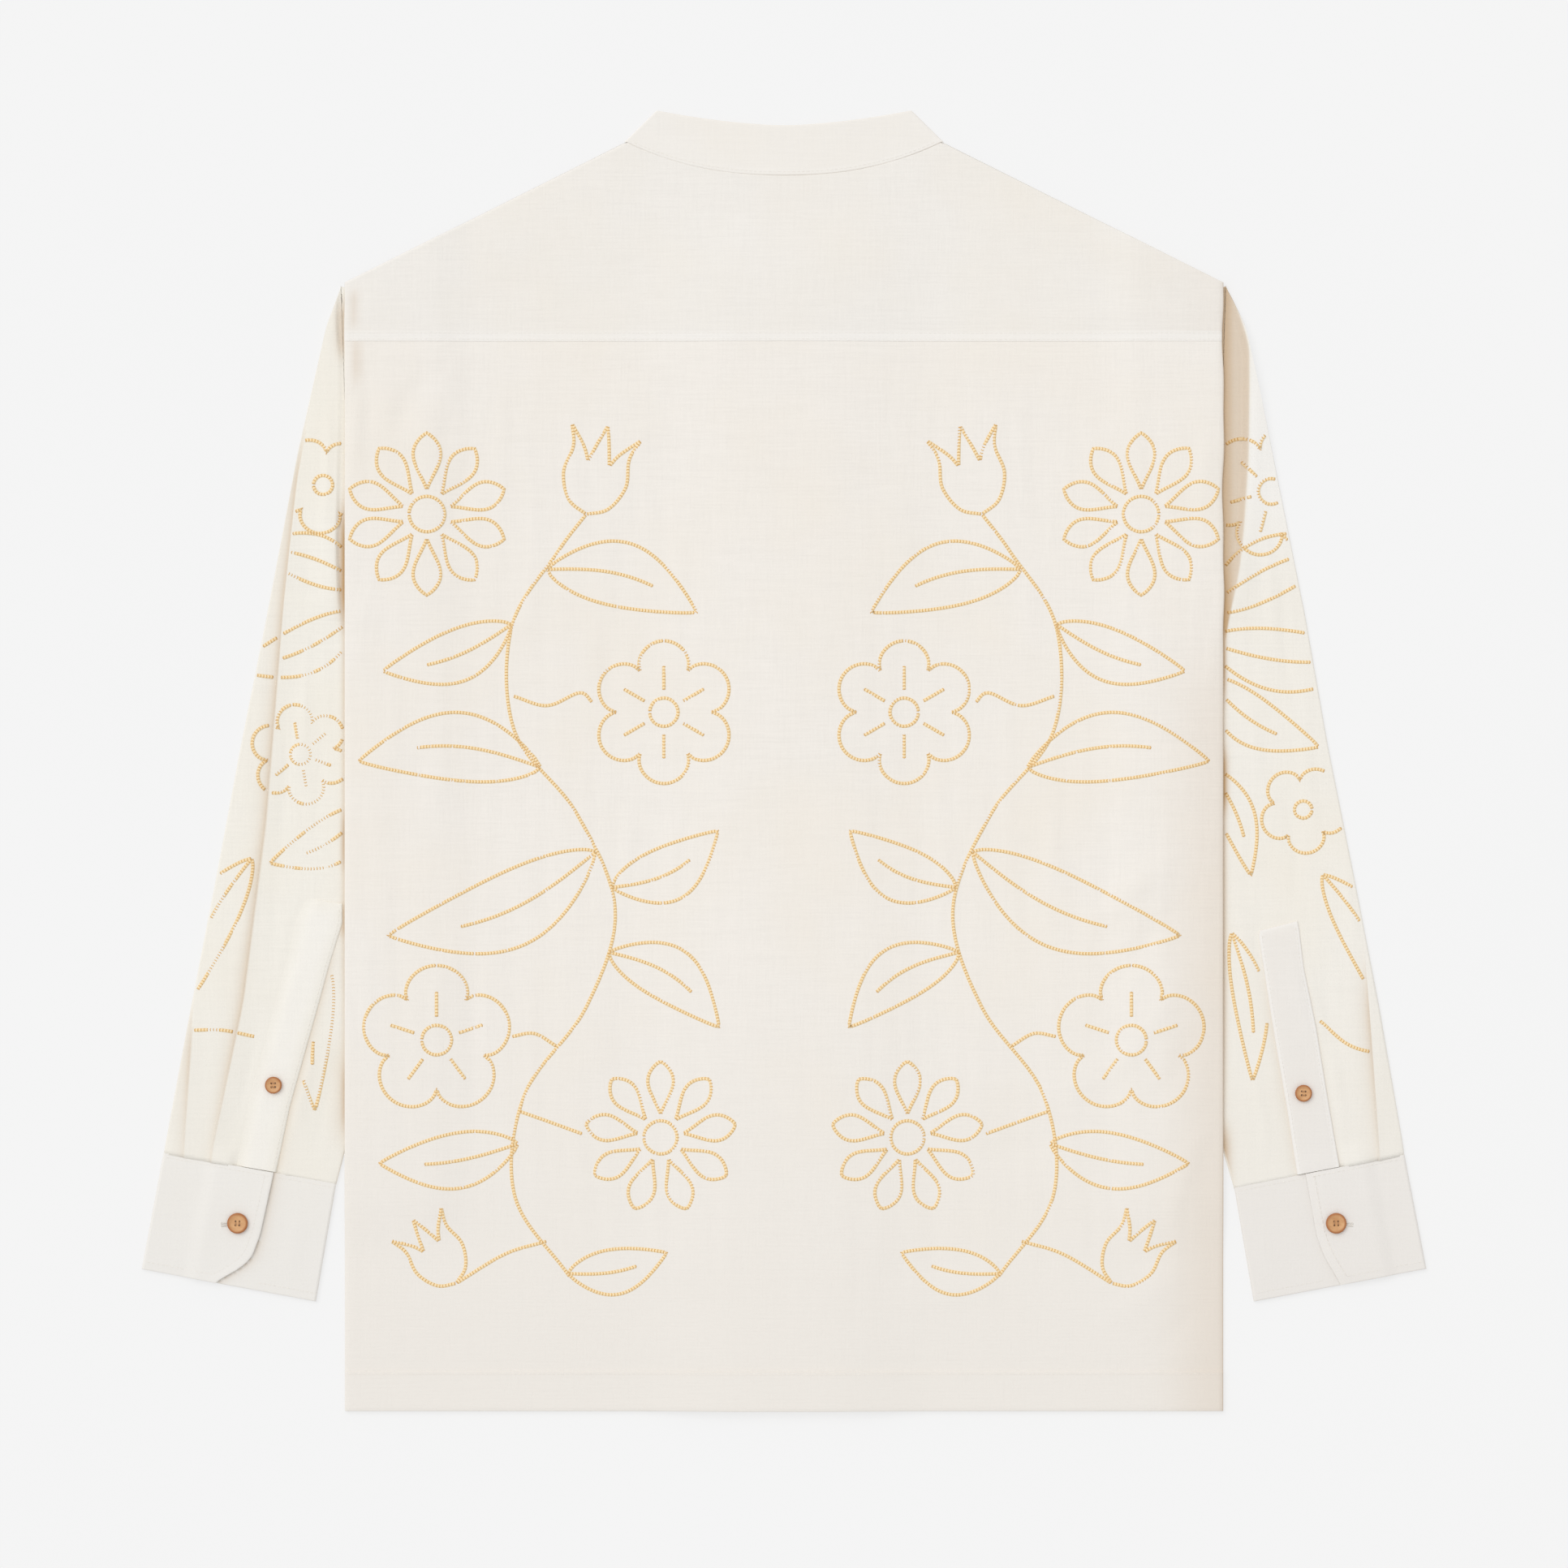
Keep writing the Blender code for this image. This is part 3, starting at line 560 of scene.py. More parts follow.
CUFF_CREASES = {
    "left": (
        (300.0, -270.0, 306.0, -322.0, 5.0, 0.5, 0.03),
        (318.0, -262.0, 322.0, -300.0, 4.0, -0.3, 0.0),
        (352.0, -262.0, 372.0, -318.0, 9.0, 0.35, 0.02),
        (386.0, -262.0, 330.0, -318.0, 11.0, -0.25, 0.04),
    ),
    "right": (
        (292.0, -276.0, 304.0, -328.0, 6.0, 0.4, 0.03),
        (352.0, -262.0, 384.0, -276.0, 6.0, 0.4, 0.02),
        (362.0, -268.0, 388.0, -304.0, 8.0, -0.3, 0.0),
        (318.0, -300.0, 366.0, -322.0, 8.0, 0.35, 0.0),
    ),
}
PLACKET_CREASES = (
    (300.0, -120.0, 312.0, -160.0, 5.0, 0.35, 0.0),
    (306.0, -170.0, 322.0, -200.0, 6.0, -0.25, 0.0),
)


def smooth(t):
    """A soft step from 0 to 1."""
    t = np.clip(t, 0.0, 1.0)
    return t * t * (3 - 2 * t)


def rise(value, start, full):
    """A soft step from 0 where the value is start to 1 where it is full."""
    return smooth((value - start) / (full - start))


def read(table, y, column):
    """A table's column at heights y. The first column is y, from the top down."""
    rows = np.array(table)[::-1]
    return np.interp(y, rows[:, 0], rows[:, column])


def read_soft(table, y, column, reach=7.0):
    """The same without corners: the mean over a short stretch."""
    shifts = np.linspace(-reach, reach, 5)
    return sum(read(table, np.asarray(y) + shift, column) for shift in shifts) / len(shifts)


def srgb(red, green, blue):
    """A colour of the picture, 0 to 255, as the light that a shader takes."""
    shares = np.array((red, green, blue)) / 255
    linear = np.where(shares <= 0.04045, shares / 12.92, ((shares + 0.055) / 1.055) ** 2.4)
    return (*linear.tolist(), 1.0)


def creases(table, x, y):
    """Sum of soft ridges and troughs along short bent lines that fade at both ends."""
    total = np.zeros(np.broadcast(x, y).shape)
    for x0, y0, x1, y1, width, height, bend in table:
        length = math.hypot(x1 - x0, y1 - y0)
        along = ((x - x0) * (x1 - x0) + (y - y0) * (y1 - y0)) / length**2
        across = ((x - x0) * (y1 - y0) - (y - y0) * (x1 - x0)) / length
        across = across - bend * length * 4 * along * (1 - along)
        ends = smooth(along / 0.4) * smooth((1 - along) / 0.4)
        total = total + height * np.exp(-((across / width) ** 2)) * ends
    return total


def puckers(x, y):
    """Vertical puckers that come and go, as stitching leaves them."""
    total = np.zeros(np.broadcast(x, y).shape)
    for across, along, drift, height in PUCKERS:
        sway = 1.3 * np.sin(y / along * 2.1 + drift * 5) + 0.8 * np.sin(y / along * 5.3 + drift)
        swell = np.sin(y / along * 3.7 + 2 * drift + x / (3.1 * across))
        total = total + height * np.sin(2 * math.pi * x / across + sway + drift) * (0.55 + 0.45 * swell)
    return total


def side_lift(x, y):
    """How high the sleeves lift the sides of the body."""
    across = smooth((np.abs(x) - CLIMB_START) / CLIMB_WIDTH)
    return (TUBE_HEIGHT + GAP) * across * smooth((y - CLIMB_LOW_Y) / CLIMB_LENGTH)


def side_wave(x, y):
    """How far the sides of the body wander from a straight line."""
    near_edge = smooth((np.abs(x) - BODY_HALF + 22) / 22)
    wave = 0.45 * np.sin(y / 16.0 + 1.0) + 0.3 * np.sin(y / 7.3 + x)
    where = np.where(x > 0, smooth((y - 60) / 50), 0.5 * smooth((y - 200) / 30))
    return wave * near_edge * where * smooth((SHOULDER_Y - y) / 20)


def lip_level(x, y):
    """The level that the sides of the body turn down to."""
    return side_lift(x, y) * (1 - LIP_DROP / (TUBE_HEIGHT + GAP))


def closing(x, settles):
    """1 over the front closing, down to 0 where the cloth has settled beside it."""
    return smooth((settles - np.abs(x)) / (settles - CLOSING_FLAT))


def hem_wall(y):
    return HEM_WALL - (HEM_WALL - WALL) * smooth(y - HEM_TOP + 0.5)


def yoke_wall(y):
    return YOKE_BAND_WALL - (YOKE_BAND_WALL - WALL) * smooth(y - YOKE_Y - YOKE_BAND - GAP)


def left_front_base(x, y):
    return side_lift(x, y) + (FRONT_BUTTON_HEIGHT + GAP) * closing(x, FRONT_SETTLES)


def right_front_base(x, y):
    rise = FRONT_BUTTON_HEIGHT + 2 * GAP + hem_wall(y)
    return side_lift(x, y) + rise * closing(x, FRONT_SETTLES)


def back_base(x, y):
    rise = FRONT_BUTTON_HEIGHT + 2 * GAP + hem_wall(y)
    rise = rise * (1 - NECK_SINK * smooth((y - NECK_SINK_Y) / NECK_SINK_LENGTH))
    return side_lift(x, y) + hem_wall(y) + GAP + rise * closing(x, BACK_SETTLES)


def back_relief(x, y):
    """Creases and puckers of the back, which die away at its edges so that its seams stay put."""
    embroidered = smooth((y + 345) / 60) * smooth((250 - y) / 50) * smooth((np.abs(x) - 20) / 40)
    inside = smooth((BODY_HALF - np.abs(x)) / 5) * smooth((y - HEM_TOP) / 12) * smooth((YOKE_Y - y) / 8)
    relief = 1.5 * creases(BACK_CREASES, x, y) + puckers(x, y) * (0.5 + 1.2 * embroidered)
    return (PUCKER_BASE + relief) * inside


def back_top(x, y):
    return back_base(x, y) + hem_wall(y) + back_relief(x, y)


def yoke_relief(x, y):
    inside = smooth((BODY_HALF - np.abs(x)) / 5) * smooth((y - YOKE_Y - YOKE_BAND) / 12)
    inside = inside * smooth((outline_top(x, BACK_NECK_DROP) - y) / 14)
    return (PUCKER_BASE + creases(YOKE_CREASES, x, y) + 0.4 * puckers(x, y)) * inside


def yoke_top(x, y):
    return back_base(x, y) + yoke_wall(y) + yoke_relief(x, y)


def outline_top(x, neck_drop):
    """The shoulder line, or the neckline between the neck points."""
    share = np.minimum(np.abs(x) / NECK_HALF, 1.0)
    neck = NECK_Y - neck_drop * (1 - share**NECK_CURVE)
    shoulder = NECK_Y - (np.abs(x) - NECK_HALF) * SHOULDER_SLOPE
    return np.where(np.abs(x) >= NECK_HALF, shoulder, neck)


def edge_x(side, y):
    return read_soft(SLEEVE_EDGE, y, 1 if side == "left" else 2, 4.0)


def ridge_height(side, x, y):
    """Height of the fold of the sleeve that stands beside the edge of the body."""
    away = np.abs(x) - BODY_HALF
    crest = read_soft(RIDGES[side], y, 1)
    height = read_soft(RIDGES[side], y, 2)
    reach = np.minimum(RIDGE_RISE[side], np.maximum(crest - 0.4, 0.4))
    rise = height * smooth((away - crest + reach) / reach)
    fall = height * np.exp(-(((away - crest) / RIDGE_OUTER_WIDTH) ** 2))
    return np.where(away < crest, rise, fall)


def pleat_height(side, x, y):
    height = np.zeros(np.broadcast(x, y).shape)
    for pleat in PLEATS[side]:
        away = PLEAT_RAISED_SIDE[side] * (read_soft(pleat, y, 1) - np.abs(x))
        fall = (1 - np.clip(away / PLEAT_WIDTH, 0, 1)) ** PLEAT_FALL
        started = smooth((pleat[0][0] - y) / 10)
        height = height + read_soft(pleat, y, 2) * fall * smooth(away / PLEAT_STEP + 0.5) * started
    return height


def sleeve_top(side, x, y):
    """Upper face of a sleeve between its two folds."""
    relief = creases(SLEEVE_CREASES[side], np.abs(x), y) + 0.8 * puckers(x, y)
    inside = smooth((edge_x(side, y) - np.abs(x)) / 6) * smooth((y + 258) / 14)
    near_placket = smooth(placket_distance(side, x, y) / 6)
    relief = (0.2 + relief) * inside * near_placket
    folds = ridge_height(side, x, y) + pleat_height(side, x, y) * (1 - 0.5 * near_cuff(side, x, y))
    return TUBE_HEIGHT + folds + relief + cuff_climb(side, x, y) * near_placket


def near_cuff(side, x, y):
    """1 at the seam of the cuff, down to 0 a little above it."""
    _, t = cuff_place(np.array(CUFF_CORNERS[side]), np.abs(x), y)
    return smooth(1 + t * CUFF_DEPTH / SEAM_CLIMB)


def cuff_climb(side, x, y):
    """How the sleeve swells up to the cuff that it is gathered into."""
    u, _ = cuff_place(np.array(CUFF_CORNERS[side]), np.abs(x), y)
    u = np.clip(u, 0.0, 1.0)
    on_top = smooth((u - CUFF_FREE_END[side]) / 0.03)
    level = 2 * CUFF_WALL + GAP
    level = level + (cuff_height(side, u, np.zeros_like(u)) - level) * on_top
    ends = smooth(u / 0.04) * smooth((1 - u) / 0.04)
    return (level - 0.02 - TUBE_HEIGHT) * near_cuff(side, x, y) * ends


def placket_edges(side, y):
    """Distances from the middle of a placket's inner and outer edges at heights y."""
    rows = np.array(PLACKETS[side])
    inner = np.interp(y, rows[::-1, 1], rows[::-1, 0])
    outer = np.interp(y, rows[::-1, 3], rows[::-1, 2])
    return inner, outer


def placket_distance(side, x, y):
    """How far a point lies outside a placket, and less than 0 inside it."""
    inner, outer = placket_edges(side, y)
    rows = np.array(PLACKETS[side])
    above = y - (rows[0, 1] + rows[0, 3]) / 2
    return np.maximum(np.maximum(inner - np.abs(x), np.abs(x) - outer), above)


# Tone of the cloth, where light and shade are painted: above 0 it goes over to the tan of deep shade, below
# 0 it is painted lighter


# Painted shade where the fold at the body's right side turns down, away from the light
def right_fold_shade(x):
    return FOLD_EDGE_SHADE * (1 - smooth((BODY_HALF - x) / FOLD_EDGE_SHADE_WIDTH))


def shoulder_fold_tone(x, y, depth, middle, low, high):
    across = np.exp(-(((x - middle) / SHOULDER_FOLD_WIDTH) ** 2))
    return depth * across * rise(y, *low) * rise(y, *high)


def back_tone(x, y):
    tone = right_fold_shade(x) + shoulder_fold_tone(x, y, *BACK_FOLD_SHADE)
    for depth, across, along in (RIGHT_SHADE, LOW_CORNER_SHADE):
        tone = tone + depth * rise(x, *across) * rise(y, *along)
    return tone + HEM_SHADE * np.exp(-(((y - HEM_TOP) / HEM_SHADE_WIDTH) ** 2))


def yoke_tone(x, y):
    band = smooth((y - YOKE_Y) / 1.2) * smooth((YOKE_Y + YOKE_BAND + 1.5 - y) / 3)
    depth, across = YOKE_RIGHT_SHADE
    tone = right_fold_shade(x) + shoulder_fold_tone(x, y, *YOKE_FOLD_SHADE)
    return tone + depth * rise(x, *across) - YOKE_BAND_LIGHT * band


def beside(away, start, width):
    """Shade that is full at an edge and thins out beside it, from a start under the edge."""
    return np.where(away > start, np.exp(-np.maximum(away, 0) / width), 0.0)


def sleeve_tone(side, x, y):
    away = np.abs(x) - BODY_HALF
    tone = np.zeros(np.broadcast(x, y).shape)
    for middle, half, width, depth in EDGE_SHADE[side]:
        stretch = smooth(1.4 * (1 - np.abs(y - middle) / half))
        tone = tone + depth * stretch * np.exp(-((np.maximum(away, 0) / width) ** 2))
    if side == "right":
        crest = read_soft(RIDGES[side], y, 1)
        deep = rise(crest - away, -0.6, 1.0) * rise(y, *VALLEY_ENDS)
        low = VALLEY_LOW_SHADE * rise(y, *VALLEY_LOW)
        fade = (VALLEY_FADE + low) * rise(away, *VALLEY_FADE_AWAY)
        tone = np.maximum(tone, deep * (VALLEY_SHADE + low - fade))
        tone = tone - RIDGE_LIGHT * rise(away - crest, 0.0, 2.0) * rise(y, *RIDGE_LIGHT_Y)
    for pleat in PLEATS[side]:
        low = PLEAT_RAISED_SIDE[side] * (np.abs(x) - read_soft(pleat, y, 1))
        line = beside(low, PLEAT_SHADE_FROM, PLEAT_SHADE_WIDTH)
        fades = PLEAT_SHADE_AT_CUFF + (1 - PLEAT_SHADE_AT_CUFF) * rise(y, -262.0, -152.0)
        tone = tone + PLEAT_SHADE * line * smooth((pleat[0][0] - y) / 50) * fades
    inner, outer = placket_edges(side, y)
    along = smooth((PLACKETS[side][0][1] - 8 - y) / 40) * rise(y, -262.0, -246.0)
    tone = tone + PLACKET_FREE_SHADE[side] * along * beside(inner - np.abs(x), -1.0, PLACKET_FREE_WIDTH)
    tone = tone + PLACKET_SEWN_SHADE[side] * along * beside(np.abs(x) - outer, -1.0, PLACKET_SEWN_WIDTH)
    return tone


def cuff_tone(side, u, t):
    """Shade beside the free end, on the part of the cuff that lies under it."""
    free = CUFF_FREE_END[side] + cuff_cut_back(side, t) / CUFF_WIDTH
    return CUFF_END_SHADE[side] * beside((free - u) * CUFF_WIDTH, 0.0, CUFF_END_SHADE_WIDTH)


def rim(distance, radius=0.6):
    """0 at the edge of a sheet, 1 further in: how far its two faces have parted."""
    inner = np.clip(1 - distance / radius, 0.0, 1.0)
    return np.sqrt(1 - inner**2)


def steps(start, end, pitch, near=(0.0, 0.08, 0.25, 0.6), extra=()):
    """Places from start to end about a pitch apart, closer at both ends and with some more given."""
    count = max(int(round((end - start) / pitch)), 1)
    places = [start + (end - start) * i / count for i in range(1, count)]
    places += [start + n for n in near] + [end - n for n in near] + list(extra)
    kept = []
    for place in sorted(places):
        if not kept or place - kept[-1] > 0.05:
            kept.append(place)
    kept[-1] = end
    return np.array(kept)


def new_object(name, data):
    obj = bpy.data.objects.new(name, data)
    bpy.context.scene.collection.objects.link(obj)
    return obj


def mesh_object(name, points, faces, look):
    """A mesh in place, riding on the part, with its points given in millimetres."""
    mesh = bpy.data.meshes.new(name)
    mesh.from_pydata((np.asarray(points) * MM).tolist(), [], faces)
    mesh.materials.append(look)
    mesh.shade_smooth()
    obj = new_object(name, mesh)
    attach(obj, "root")
    return obj


def turn_faces_out(obj):
    bm = bmesh.new()
    bm.from_mesh(obj.data)
    bmesh.ops.recalc_face_normals(bm, faces=bm.faces)
    bm.to_mesh(obj.data)
    bm.free()


def points_of(mesh):
    """The points of a mesh, in millimetres."""
    points = np.zeros(len(mesh.vertices) * 3)
    mesh.vertices.foreach_get("co", points)
    return points.reshape(-1, 3) / MM


def set_tone(mesh, values):
    layer = mesh.attributes.new("tone", "FLOAT", "POINT")
    layer.data.foreach_set("value", np.asarray(values, np.float32).ravel())


def cloth(name, over, under, tone, look, tube=False):
    """A closed sheet between two grids of points, over and under, both (rows, columns, 3)."""
    rows, columns, _ = over.shape
    grid = np.arange(rows * columns).reshape(rows, columns)
    below = grid + rows * columns
    last = columns if tube else columns - 1
    left, right = grid[:, :last], np.roll(grid, -1, axis=1)[:, :last]
    low_left, low_right = left + rows * columns, right + rows * columns
    parts = [
        np.stack([left[:-1], right[:-1], right[1:], left[1:]], -1),
        np.stack([low_left[:-1], low_left[1:], low_right[1:], low_right[:-1]], -1),
        np.stack([left[:1], low_left[:1], low_right[:1], right[:1]], -1),
        np.stack([left[-1:], right[-1:], low_right[-1:], low_left[-1:]], -1),
    ]
    if not tube:
        parts.append(np.stack([grid[:-1, 0], grid[1:, 0], below[1:, 0], below[:-1, 0]], -1))
        parts.append(np.stack([grid[:-1, -1], below[:-1, -1], below[1:, -1], grid[1:, -1]], -1))
    faces = np.vstack([p.reshape(-1, 4) for p in parts])
    points = np.vstack([over.reshape(-1, 3), under.reshape(-1, 3)])
    obj = mesh_object(name, points, faces.tolist(), look)
    turn_faces_out(obj)
    set_tone(obj.data, np.concatenate([tone.ravel(), tone.ravel()]))
    return obj


def flat_sheet(name, x, y, base, wall, edge, tone, look, fold=None):
    """A panel on a grid of (x, y), wall thick above its base, with rounded edges.

    Fold is the distance to the edges where it turns under, and the level that it turns down to.
    """
    parted = rim(edge)
    low = base + wall * (0.5 - 0.5 * parted)
    high = base + wall * (0.5 + 0.5 * parted)
    if fold:
        distance, bottom = fold
        middle = (high + bottom) / 2
        turned_in = rim(distance, FOLD_ROUND)
        lip = 1 - smooth((distance - FOLD_LIP) / 0.3)
        low = low + (bottom - low) * lip
        high = middle + (high - middle) * turned_in
        low = np.where(distance < FOLD_LIP, middle + (low - middle) * turned_in, low)
    over, under = (np.stack([x, y, z], -1) for z in (high, low))
    return cloth(name, over, under, tone, look)


def grid_area(x, y):
    """Area of a grid of (x, y) points, in square metres."""
    ax, ay = x[1:, 1:] - x[:-1, :-1], y[1:, 1:] - y[:-1, :-1]
    bx, by = x[1:, :-1] - x[:-1, 1:], y[1:, :-1] - y[:-1, 1:]
    return float(np.abs(ax * by - ay * bx).sum() / 2) * MM**2


def declare(node, area):
    """Hides the part that the piece of cloth stands for. The area is not used."""
    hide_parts(node)


def back_panel(look):
    columns = steps(-BODY_HALF, BODY_HALF, 3.4, near=BESIDE_FOLD)
    top = YOKE_Y + GAP
    rows = steps(HEM_Y, top, 3.4, extra=(HEM_TOP - 0.5, HEM_TOP - 0.1, HEM_TOP + 0.5, HEM_TOP + 1.2))
    x, y = np.meshgrid(columns, rows)
    base = back_base(x, y) + back_relief(x, y)
    fold = (BODY_HALF - np.abs(x), lip_level(x, y))
    tone = back_tone(x, y)
    edge = y - HEM_Y
    x = x + side_wave(x, y)
    name = "cloth_back_panel"
    obj = flat_sheet(name, x, y, base, hem_wall(y), edge, tone, look, fold)
    declare("back_panel", None)


def back_yoke(look):
    columns = steps(-BODY_HALF, BODY_HALF, 3.0, near=BESIDE_FOLD)
    low = YOKE_Y + GAP
    start = low + YOKE_BAND + GAP + 1.0
    band_x, band_y = np.meshgrid(columns, steps(low, start, 1.0, near=(0.0, 0.08, 0.25, 0.6))[:-1])
    share = 1 - (1 - steps(0.0, 40.0, 1.2, near=(0.0,)) / 40.0) ** 1.5
    x, share = np.meshgrid(columns, share)
    y = start + share * (outline_top(x, BACK_NECK_DROP) - start)
    x, y = np.vstack([band_x, x]), np.vstack([band_y, y])
    at_neck = np.abs(x) < NECK_HALF
    to_top = (outline_top(x, BACK_NECK_DROP) - y) / np.where(at_neck, 1.0, math.hypot(1, SHOULDER_SLOPE))
    edge = np.minimum(6 * (y - low), np.where(at_neck, 3 * to_top, FAR))
    fold = (np.minimum(BODY_HALF - np.abs(x), np.where(at_neck, FAR, to_top)), lip_level(x, y))
    base = back_base(x, y) + yoke_relief(x, y)
    tone = yoke_tone(x, y)
    x = x + side_wave(x, y)
    name = "cloth_back_yoke"
    obj = flat_sheet(name, x, y, base, yoke_wall(y), edge, tone, look, fold)
    area = grid_area(x, y)
    declare("back_yoke", area)


def front(side, start, end, base, look):
    columns = steps(start, end, 8.0)
    rows = steps(HEM_Y, YOKE_Y, 9.0, extra=(HEM_TOP - 0.5, HEM_TOP + 0.5))[:-1]
    x, y = np.meshgrid(columns, rows)
    top_x, share = np.meshgrid(columns, steps(0.0, 120.0, 8.0) / 120.0)
    top_y = YOKE_Y + share * (outline_top(top_x, FRONT_NECK_DROP) - FRONT_INSET - YOKE_Y)
    x, y = np.vstack([x, top_x]), np.vstack([y, top_y])
    edge = np.minimum(np.minimum(x - start, end - x), y - HEM_Y)
    edge = np.minimum(edge, outline_top(x, FRONT_NECK_DROP) - FRONT_INSET - y)
    name = "cloth_front_" + side
    obj = flat_sheet(name, x, y, base(x, y), hem_wall(y), edge, np.zeros_like(x), look)
    declare("front_" + side, grid_area(x, y))


def collar_line(w, share, neck_drop, top_dip):
    """A point of the collar: w from -1 to 1 between its folds, share from its seam to its top."""
    inner = np.minimum(np.abs(w), 1.0)
    seam_x, top_x = NECK_HALF * w, COLLAR_TOP_HALF * w
    seam_y = NECK_Y - neck_drop * (1 - inner**NECK_CURVE) - COLLAR_SEAM_OVERLAP
    top_y = COLLAR_TOP_Y - top_dip * (1 - inner**COLLAR_TOP_CURVE)
    return seam_x + (top_x - seam_x) * share, seam_y + (top_y - seam_y) * share


def collar_front(ws, share, base):
    """Sections of the collar's front, whose upper edge lies on the table."""
    dip = COLLAR_TOP_Y - (NECK_Y - FRONT_NECK_DROP + COLLAR_HEIGHT)
    w, share = np.meshgrid(ws, share, indexing="ij")
    x, y = collar_line(w, share, FRONT_NECK_DROP, dip)
    seam_x, seam_y = collar_line(w, np.zeros_like(share), FRONT_NECK_DROP, dip)
    low = base(seam_x, seam_y) * (1 - share)
    return x, y, low, low + WALL


def collar_back_height(x, y):
    ripple = 0.18 * np.sin(x / 17.0 + 1.2) + 0.12 * np.sin(x / 7.3 + y / 11.0)
    return back_base(x, y) - 0.3 + ripple + 0.1 * smooth(x / 80)


def collar_back(ws, share):
    w, share = np.meshgrid(ws, share, indexing="ij")
    x, y = collar_line(w, share, BACK_NECK_DROP, COLLAR_TOP_DIP)
    low = collar_back_height(x, y)
    return x, y, low + COLLAR_WALL, low


def collar_fold(side, share):
    """Half a turn from the front layer up to the back layer."""
    turn, share = np.meshgrid(np.radians(FOLD_TURNS), share, indexing="ij")
    edge, y = collar_line(np.full_like(share, side), share, BACK_NECK_DROP, COLLAR_TOP_DIP)
    top = collar_back_height(edge, y) + COLLAR_WALL
    raised = (1 + np.sin(turn)) / 2
    x_out = edge + side * COLLAR_FOLD_REACH * np.cos(turn)
    x_in = edge + side * COLLAR_FOLD_INSIDE * np.cos(turn)
    return x_out, x_in, y, top * raised, WALL + (top - COLLAR_WALL - WALL) * raised


def collar_band(look):
    share = steps(0.0, COLLAR_HEIGHT, 2.2, near=(0.0, 0.1, 0.35, 0.9)) / COLLAR_HEIGHT
    parted = rim(np.minimum(4 * share, 1 - share) * COLLAR_HEIGHT, 0.9)
    front_steps = steps(COLLAR_END, NECK_HALF, 5.0) / NECK_HALF
    back_steps = steps(-NECK_HALF, NECK_HALF, 2.4) / NECK_HALF
    over, under = [], []

    def add(x_out, y, z_out, x_in, z_in):
        middle = (z_out + z_in) / 2
        z_out = middle + (z_out - middle) * parted
        z_in = middle + (z_in - middle) * parted
        over.append(np.stack([x_out, y, z_out], -1))
        under.append(np.stack([x_in, y, z_in], -1))

    x, y, z_out, z_in = collar_front(front_steps[:-1], share, right_front_base)
    add(x, y, z_out, x, z_in)
    x_out, x_in, y, z_out, z_in = collar_fold(1.0, share)
    add(x_out, y, z_out, x_in, z_in)
    x, y, z_out, z_in = collar_back(back_steps[::-1], share)
    add(x, y, z_out, x, z_in)
    x_out, x_in, y, z_out, z_in = (a[::-1] for a in collar_fold(-1.0, share))
    add(x_out, y, z_out, x_in, z_in)
    x, y, z_out, z_in = collar_front(-front_steps[-2::-1], share, left_front_base)
    add(x, y, z_out, x, z_in)
    over, under = np.vstack(over), np.vstack(under)
    # Painted shade at the seam under the collar's edge, and a painted light line 1.7 mm above it where the
    # stitched edge stands up; both fade out towards the left
    up = share * COLLAR_HEIGHT
    seam_light_and_shade = smooth((over[:, :, 0] + COLLAR_LIGHT_AND_SHADE_FADE) / COLLAR_LIGHT_AND_SHADE_FADE)
    tone = seam_light_and_shade * (0.1 * np.exp(-((up / 0.6) ** 2)) - 0.3 * np.exp(-(((up - 1.7) / 0.7) ** 2)))
    obj = cloth("cloth_collar_band", over, under, tone, look)
    turned = np.linalg.norm(np.diff(over[:, 0, :2], axis=0), axis=1).sum()
    declare("collar_band", None)


def sleeve_lines(side):
    """Inner and outer ends of the lines across a sleeve, from the armhole to the cuff."""
    tucked = BODY_HALF - ARMHOLE_TUCK
    table = np.array(SLEEVE_LINES)
    seam_inner, seam_outer = CUFF_CORNERS[side][:2]
    inner_x = np.concatenate([[tucked], table[:, 1], [seam_inner[0]]])
    inner_y = np.concatenate([[ARMHOLE_LOW_Y], table[:, 2], [seam_inner[1] - SEAM_TUCK]])
    outer_y = np.concatenate([[ARMHOLE_TOP_Y], table[:, 0], [seam_outer[1] - SEAM_TUCK]])
    share = np.linspace(0, len(inner_x) - 1, SLEEVE_ROWS)
    known = np.arange(len(inner_x))
    inner_x, inner_y, outer_y = (np.interp(share, known, v) for v in (inner_x, inner_y, outer_y))
    outer_x = edge_x(side, outer_y)
    first = SLEEVE_ROWS // (len(known) - 1)
    outer_x[:first] = np.linspace(tucked, outer_x[first], first)
    return np.stack([inner_x, inner_y], -1), np.stack([outer_x, outer_y], -1)


def sleeve_columns(side, inner, outer):
    """Distances along each line of the points on the upper layer, which follow the pleats."""
    length = np.linalg.norm(outer - inner, axis=1)
    share = np.linspace(0, 1, 200)
    x = inner[:, :1] + (outer - inner)[:, :1] * share
    y = inner[:, 1:] + (outer - inner)[:, 1:] * share
    end = length - FOLD_RADIUS
    before = np.full_like(length, FOLD_RADIUS)
    parts = []
    for number, pleat in enumerate(PLEATS[side]):
        above = pleat[0][1] + edge_x(side, y) - edge_x(side, pleat[0][0])
        beyond = x - np.where(y > pleat[0][0], above, read_soft(pleat, y, 1))
        stop = np.array([np.interp(0.0, row, share) for row in beyond]) * length
        most = end - SLEEVE_ROOM * (len(PLEATS[side]) - number)
        stop = np.minimum(np.maximum(stop, before + SLEEVE_ROOM), most)
        last = (stop - PLEAT_STEP / 2)[:, None]
        share_here = np.linspace(0, 1, SLEEVE_PARTS[side][number])
        parts.append(before[:, None] + (last - before[:, None]) * share_here)
        before = stop + PLEAT_STEP / 2
    parts.append(before[:, None] + (end - before)[:, None] * np.linspace(0, 1, SLEEVE_PARTS[side][-1]))
    return np.concatenate(parts, axis=1)


